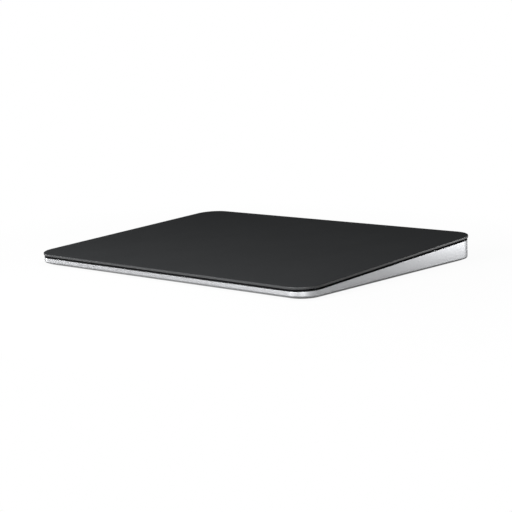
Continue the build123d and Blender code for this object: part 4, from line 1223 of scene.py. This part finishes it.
@dataclass
class SwitchKnob:
    """The small grooved knob of the power switch, with the stem behind it."""

    head_depth: float = 1.28
    end_steps: int = 16
    edge_round: float = 0.25
    edge_steps: int = 4
    groove_count: int = 5
    groove_pitch: float = 0.6
    groove_width: float = 0.22
    groove_depth: float = 0.12
    groove_height: float = 1.45
    stem_width: float = 1.8
    stem_height: float = 1.2

    def build(self, shop: FinishShop) -> None:
        """Models the knob.

        Args:
            shop: Where the material is made.
        """
        low, high = box_mm("switch_knob")
        middle = (low + high) / 2
        back = high.y - self.head_depth
        piece = Workpiece("power_knob").block(Vector((low.x, back, low.z)), high)
        piece.enter()
        piece.round_edges(front_to_back, (high.z - low.z) / 2 * HALF_ROUND, self.end_steps)
        piece.round_outline(BACK, self.edge_round, self.edge_steps)
        self.score(piece, middle)
        self.press(piece, middle, back - low.y)
        piece.leave()
        piece.finish(shop, Body.SLIDER, "anodised_aluminium", "switch_knob")

    def groove_places(self, middle: Vector) -> list[float]:
        """X of the middle of each groove."""
        numbers = range(self.groove_count)
        return [middle.x + (number - (self.groove_count - 1) / 2) * self.groove_pitch for number in numbers]

    def score(self, piece: Workpiece, middle: Vector) -> None:
        """Cuts the knob along the sides of its grooves and of its stem, so that each has its own faces.

        Args:
            piece: The knob, open for editing.
            middle: The knob's middle.
        """
        sides = [x + end * self.groove_width / 2 for x in self.groove_places(middle) for end in (-1, 1)]
        sides += [middle.x + end * self.stem_width / 2 for end in (-1, 1)]
        for x in sides:
            piece.slice(Vector((x, 0, 0)), RIGHT, False)
        heights = (self.groove_height, self.stem_height)
        levels = [middle.z + end * height / 2 for height in heights for end in (-1, 1)]
        for z in levels:
            piece.slice(Vector((0, 0, z)), UP, False)

    def press(self, piece: Workpiece, middle: Vector, stem_length: float) -> None:
        """Sinks the grooves into the head and pulls the stem out of its back.

        Args:
            piece: The knob, open for editing.
            middle: The knob's middle.
            stem_length: How far the stem reaches behind the head.
        """
        grooves = self.groove_places(middle)
        piece.pick(
            Pick.FACE,
            lambda centre, normal: normal.y > SAME_WAY
            and abs(centre.z - middle.z) < self.groove_height / 2
            and any(abs(centre.x - x) < self.groove_width / 2 for x in grooves),
        )
        piece.extrude(FRONT * self.groove_depth)
        piece.pick(
            Pick.FACE,
            lambda centre, normal: normal.y < -SAME_WAY
            and abs(centre.z - middle.z) < self.stem_height / 2
            and abs(centre.x - middle.x) < self.stem_width / 2,
        )
        piece.extrude(FRONT * stem_length)


@dataclass
class ReferenceCamera:
    """The camera of the reference view, in millimetres, degrees and pixels of the square frame.

    Only its clipping distances are metres.
    """

    azimuth: float = 42.537
    elevation: float = 9.395
    roll: float = -1.872
    distance: float = 584.26
    aim_right: float = 2.001
    aim_up: float = -2.811
    aim_height: float = 5.0
    focal_pixels: float = 1322.54
    frame_pixels: float = 512.0
    sensor: float = 36.0
    clip: tuple[float, float] = (0.01, 100.0)

    def build(self) -> None:
        """Places the camera and makes it the scene's own."""
        turn, rise, roll = (math.radians(a) for a in (self.azimuth, self.elevation, self.roll))
        back = Vector((math.sin(turn) * math.cos(rise), -math.cos(turn) * math.cos(rise), math.sin(rise)))
        level = Vector((math.cos(turn), math.sin(turn), 0.0))
        above = back.cross(level)
        right = math.cos(roll) * level + math.sin(roll) * above
        up = math.cos(roll) * above - math.sin(roll) * level
        target = self.aim_right * right + self.aim_up * up + Vector((0, 0, self.aim_height))
        eye = (target + self.distance * back) * MM
        lens = bpy.data.cameras.new("reference_camera")
        lens.sensor_width = self.sensor
        lens.lens = self.sensor * self.focal_pixels / self.frame_pixels
        lens.clip_start, lens.clip_end = self.clip
        camera = bpy.data.objects.new("reference_camera", lens)
        bpy.context.scene.collection.objects.link(camera)
        camera.matrix_world = Matrix.Translation(eye) @ Matrix((right, up, back)).transposed().to_4x4()
        bpy.context.scene.camera = camera


@dataclass(frozen=True)
class Panel:
    """Something flat that hangs in the studio: its place, what it faces and its size, in metres."""

    name: str
    place: tuple[float, float, float]
    aim: tuple[float, float, float]
    width: float
    height: float

    def hang(self, item: Object) -> None:
        """Puts an object whose back is its local Z at the panel's place, turned to its aim."""
        item.location = self.place
        item.rotation_mode = "QUATERNION"
        item.rotation_quaternion = (Vector(self.aim) - Vector(self.place)).to_track_quat("-Z", "Y")


@dataclass(frozen=True)
class SoftBox(Panel):
    """A lamp with an even white face."""

    watts: float = 1.0

    def build(self) -> None:
        """Hangs the lamp, out of the camera's sight."""
        light = bpy.data.lights.new(self.name, "AREA")
        light.shape = "RECTANGLE"
        light.size = self.width
        light.size_y = self.height
        light.energy = self.watts
        lamp = bpy.data.objects.new(self.name, light)
        bpy.context.scene.collection.objects.link(lamp)
        lamp.visible_camera = False
        self.hang(lamp)


@dataclass(frozen=True)
class BlackFlag(Panel):
    """A black card that keeps the white sky out of a reflection, and shades nothing."""

    cells: int = 2

    def build(self) -> None:
        """Hangs the card, where only reflections see it."""
        card = flat_grid(self.name, self.cells, 1.0)
        card.scale = (self.width, self.height, 1.0)
        self.hang(card)
        made = bpy.data.materials.new("black_felt")
        tree = empty_tree(made)
        felt = add(tree, "BsdfDiffuse", {"Color": linear(FELT_COLOUR)})
        add(tree, "OutputMaterial", links={"Surface": felt.outputs["BSDF"]})
        card.data.materials.append(made)
        card.visible_camera = card.visible_diffuse = card.visible_shadow = card.visible_transmission = False


@dataclass
class Studio:
    """A pale floor with painted shadow, glow and reflection near the object, a plain sky, soft boxes and two
    black flags. Lengths are metres.
    """

    floor_colour: str = "#e9e9e9"
    floor_half: float = 8.0
    floor_cells: int = 8
    floor_white_share: float = 0.96
    floor_dark_share: float = 0.05
    floor_fade: float = 0.12
    floor_mirrored_share: float = 0.1
    far_painted_reflection_share: float = 0.55
    # A painted reflection: the way straight away from the camera, and the stretch along it where the floor
    # turns pale in reflections.
    far_way: tuple[float, float, float] = (-0.676, 0.737, 0.0)
    far_span: tuple[float, float] = (0.02, 0.06)
    # A painted glow: the share of white that the floor under the object gives to the light on its underside
    # and to its reflections.
    painted_under_glow_share: float = 0.6
    under_margin: float = 0.006
    sky_colour: str = "#ffffff"
    sky_strength: float = 0.08
    sky_mirrored_share: float = 0.36
    # Half the width and half the depth of the object, and the radius of its corners.
    footprint: tuple[float, float, float] = (0.08, 0.05745, 0.01)
    # How far inside the object's outline the dark under it starts to fade, and where it has faded.
    contact: tuple[float, float] = (0.0036, 0.0023)
    # A painted contact shadow: the paper's colour darkens to this grey near the object's outline, and this is
    # how far out it reaches.
    painted_contact_shadow_colour: str = "#8a8a8a"
    painted_shadow_reach: float = 0.0035
    # Each has its place, its aim, its width and height, and a lamp its power in watts.
    hung: tuple[Panel, ...] = (
        SoftBox("front_box", (-0.007, -0.324, 0.12), (0.05, 0.0, 0.0), 0.15, 0.15, 1.75),
        SoftBox("front_left_box", (-0.139, -0.158, 0.184), (-0.04, -0.04, 0.0), 0.12, 0.12, 0.12),
        SoftBox("camera_side_box", (0.524, -0.582, 0.166), (0.0, 0.0, 0.0), 0.12, 0.3, 2.9),
        SoftBox("right_strip", (0.155, 0.143, 0.008), (0.08, 0.03, 0.005), 0.045, 0.012, 0.043),
        SoftBox("rear_strip", (-0.06, 0.26, 0.011), (-0.01, 0.0575, 0.005), 0.26, 0.016, 0.2),
        SoftBox("left_strip", (-0.242, -0.127, 0.009), (-0.07, -0.047, 0.004), 0.07, 0.014, 0.1),
        BlackFlag("back_flag", (-0.564, 0.615, 0.337), (0.0, 0.0, 0.0), 1.6, 0.62),
        BlackFlag("low_back_flag", (-0.17, 0.185, 0.05), (0.0, 0.0, 0.05), 0.36, 0.1),
    )

    def build(self) -> None:
        """Builds the floor, the sky, the lamps and the flags, and sets the view transform."""
        self.floor()
        self.sky()
        for panel in self.hung:
            panel.build()
        bpy.context.scene.view_settings.view_transform = "Standard"

    def shown(self, tree: NodeTree, camera_share: Any, mirrored_share: Any, other: Any) -> NodeSocket:
        """Tells how white the background is for each kind of ray.

        Args:
            tree: The node tree that asks.
            camera_share: The value for the camera's own rays, a number or a socket, as are the next two.
            mirrored_share: The value for rays that metal and glass send on.
            other: The value for light that falls on the pieces.

        Returns:
            The value's socket.
        """
        path = add(tree, "LightPath")
        rays = {0: path.outputs["Is Glossy Ray"], 1: path.outputs["Is Transmission Ray"]}
        sent_on = add(tree, "Math", {"operation": "MAXIMUM"}, rays)
        unseen = self.ramp(tree, sent_on.outputs["Value"], (0.0, 1.0), (other, mirrored_share))
        return self.ramp(tree, path.outputs["Is Camera Ray"], (0.0, 1.0), (unseen, camera_share))

    def floor(self) -> None:
        """Lays the floor: white to the eye, yet still taking the object's shadow, with a painted contact
        shadow and a painted glow near the object, and clear from below.
        """
        floor = flat_grid("studio_floor", self.floor_cells, 2 * self.floor_half)
        made = bpy.data.materials.new("pale_paper_sweep")
        tree = empty_tree(made)
        away = self.distance_out(tree)
        corner = self.footprint[2]
        # The paper is painted darker close to the object: a painted contact shadow.
        colours = {"data_type": "RGBA", "A": linear(self.painted_contact_shadow_colour), "B": linear(self.floor_colour)}
        outside = self.ramp(tree, away, (corner, corner + self.painted_shadow_reach), (0.0, 1.0))
        tone = add(tree, "Mix", colours, {"Factor": outside})
        paper = add(tree, "BsdfDiffuse", links={"Color": socket(tone.outputs, "Result")})
        white = add(tree, "Emission", {"Color": linear(self.sky_colour), "Strength": 1.0})
        # Reflections see the painted glow under the object and the painted paler floor behind it, and the
        # light on the pieces sees only the painted glow.
        mirrored = self.glow(tree, away, self.far_side(tree))
        share = self.shown(tree, self.whiteness(tree, away), mirrored, self.glow(tree, away, 0.0))
        surfaces = {"Fac": share, 1: paper.outputs["BSDF"], 2: white.outputs["Emission"]}
        lit = add(tree, "MixShader", links=surfaces)
        below = add(tree, "NewGeometry")
        clear = add(tree, "BsdfTransparent")
        sides = {"Fac": below.outputs["Backfacing"], 1: lit.outputs["Shader"], 2: clear.outputs["BSDF"]}
        both = add(tree, "MixShader", links=sides)
        add(tree, "OutputMaterial", links={"Surface": both.outputs["Shader"]})
        floor.data.materials.append(made)

    def distance_out(self, tree: NodeTree) -> NodeSocket:
        """Measures how far a place on the floor lies from the middle of the nearest rounded corner.

        Args:
            tree: The floor's node tree.

        Returns:
            The distance's socket. On the outline of the object it is the corner's radius.
        """
        width, depth, corner = self.footprint
        inner = (width - corner, depth - corner, 0.0)
        place = add(tree, "TexCoord")
        folded = add(tree, "VectorMath", {"operation": "ABSOLUTE"}, {0: place.outputs["Object"]})
        past = add(tree, "VectorMath", {"operation": "SUBTRACT", 1: inner}, {0: folded.outputs["Vector"]})
        none = (0.0, 0.0, 0.0)
        outside = add(tree, "VectorMath", {"operation": "MAXIMUM", 1: none}, {0: past.outputs["Vector"]})
        length = add(tree, "VectorMath", {"operation": "LENGTH"}, {0: outside.outputs["Vector"]})
        return length.outputs["Value"]

    def far_side(self, tree: NodeTree) -> NodeSocket:
        """Tells how white the floor looks in reflections, a painted reflection: pale behind and left of the
        object, darker in front and right.

        Args:
            tree: The floor's node tree.

        Returns:
            The socket of the share of white.
        """
        place = add(tree, "TexCoord")
        settings = {"operation": "DOT_PRODUCT", 1: self.far_way}
        along = add(tree, "VectorMath", settings, {0: place.outputs["Object"]})
        ends = (self.floor_mirrored_share, self.far_painted_reflection_share)
        return self.ramp(tree, along.outputs["Value"], self.far_span, ends)

    def ramp(
        self, tree: NodeTree, value: NodeSocket, span: tuple[float, float], ends: tuple[Any, Any]
    ) -> NodeSocket:
        """Moves from one end to the other while a value crosses a span.

        Args:
            tree: The node tree.
            value: The value's socket.
            span: Where the move starts and stops.
            ends: What is given before and after it, each a number or a socket.

        Returns:
            The result's socket.
        """
        named = {"To Min": ends[0], "To Max": ends[1]}
        fixed = {key: end for key, end in named.items() if isinstance(end, float)}
        joined = {key: end for key, end in named.items() if not isinstance(end, float)}
        settings = {"From Min": span[0], "From Max": span[1], **fixed}
        return add(tree, "MapRange", settings, {"Value": value, **joined}).outputs["Result"]

    def glow(self, tree: NodeTree, away: NodeSocket, beside: Any) -> NodeSocket:
        """Makes the floor glow under the object, a painted light on its underside, which would otherwise see
        only its own shadow.

        Args:
            tree: The floor's node tree.
            away: The distance out.
            beside: The share of white beside the object, a number or a socket.

        Returns:
            The socket of the share of white.
        """
        inner = self.footprint[2] - self.under_margin
        return self.ramp(tree, away, (inner - self.under_margin / 2, inner), (self.painted_under_glow_share, beside))

    def whiteness(self, tree: NodeTree, away: NodeSocket) -> NodeSocket:
        """Makes the floor dark under the object, nearly white beside it and white far away.

        Args:
            tree: The floor's node tree.
            away: The distance out.

        Returns:
            The socket of the share of white.
        """
        corner = self.footprint[2]
        contact = tuple(corner - inside for inside in self.contact)
        near = self.ramp(tree, away, contact, (self.floor_dark_share, self.floor_white_share))
        far = self.ramp(tree, away, (corner, corner + self.floor_fade), (0.0, 1.0 - self.floor_white_share))
        both = add(tree, "Math", {"operation": "ADD"}, {0: near, 1: far})
        return both.outputs["Value"]

    def sky(self) -> None:
        """Fills the world with an even light that looks white."""
        world = bpy.data.worlds.new("white_sky")
        bpy.context.scene.world = world
        tree = empty_tree(world)
        strength = self.shown(tree, 1.0, self.sky_mirrored_share, self.sky_strength)
        even = add(tree, "Background", {"Color": linear(self.sky_colour)}, {"Strength": strength})
        add(tree, "OutputWorld", links={"Surface": even.outputs["Background"]})


def main() -> None:
    """Builds the object and its studio in order."""
    logging.basicConfig(level=logging.INFO, format="%(message)s")
    shop = FinishShop()
    LOG.info("dressed %d slots", shop.dress_nodes(frame["nodes"]))
    deck = Deck()
    on_deck = (GlassPlate(deck), RimGasket(deck), Tray(deck), ForceBeams(deck))
    for assembly in (*on_deck, Feet(), ChargePort(), SwitchKnob()):
        LOG.info("building %s", type(assembly).__name__)
        assembly.build(shop)
    Studio().build()
    ReferenceCamera().build()


if __name__ == "__main__":
    main()
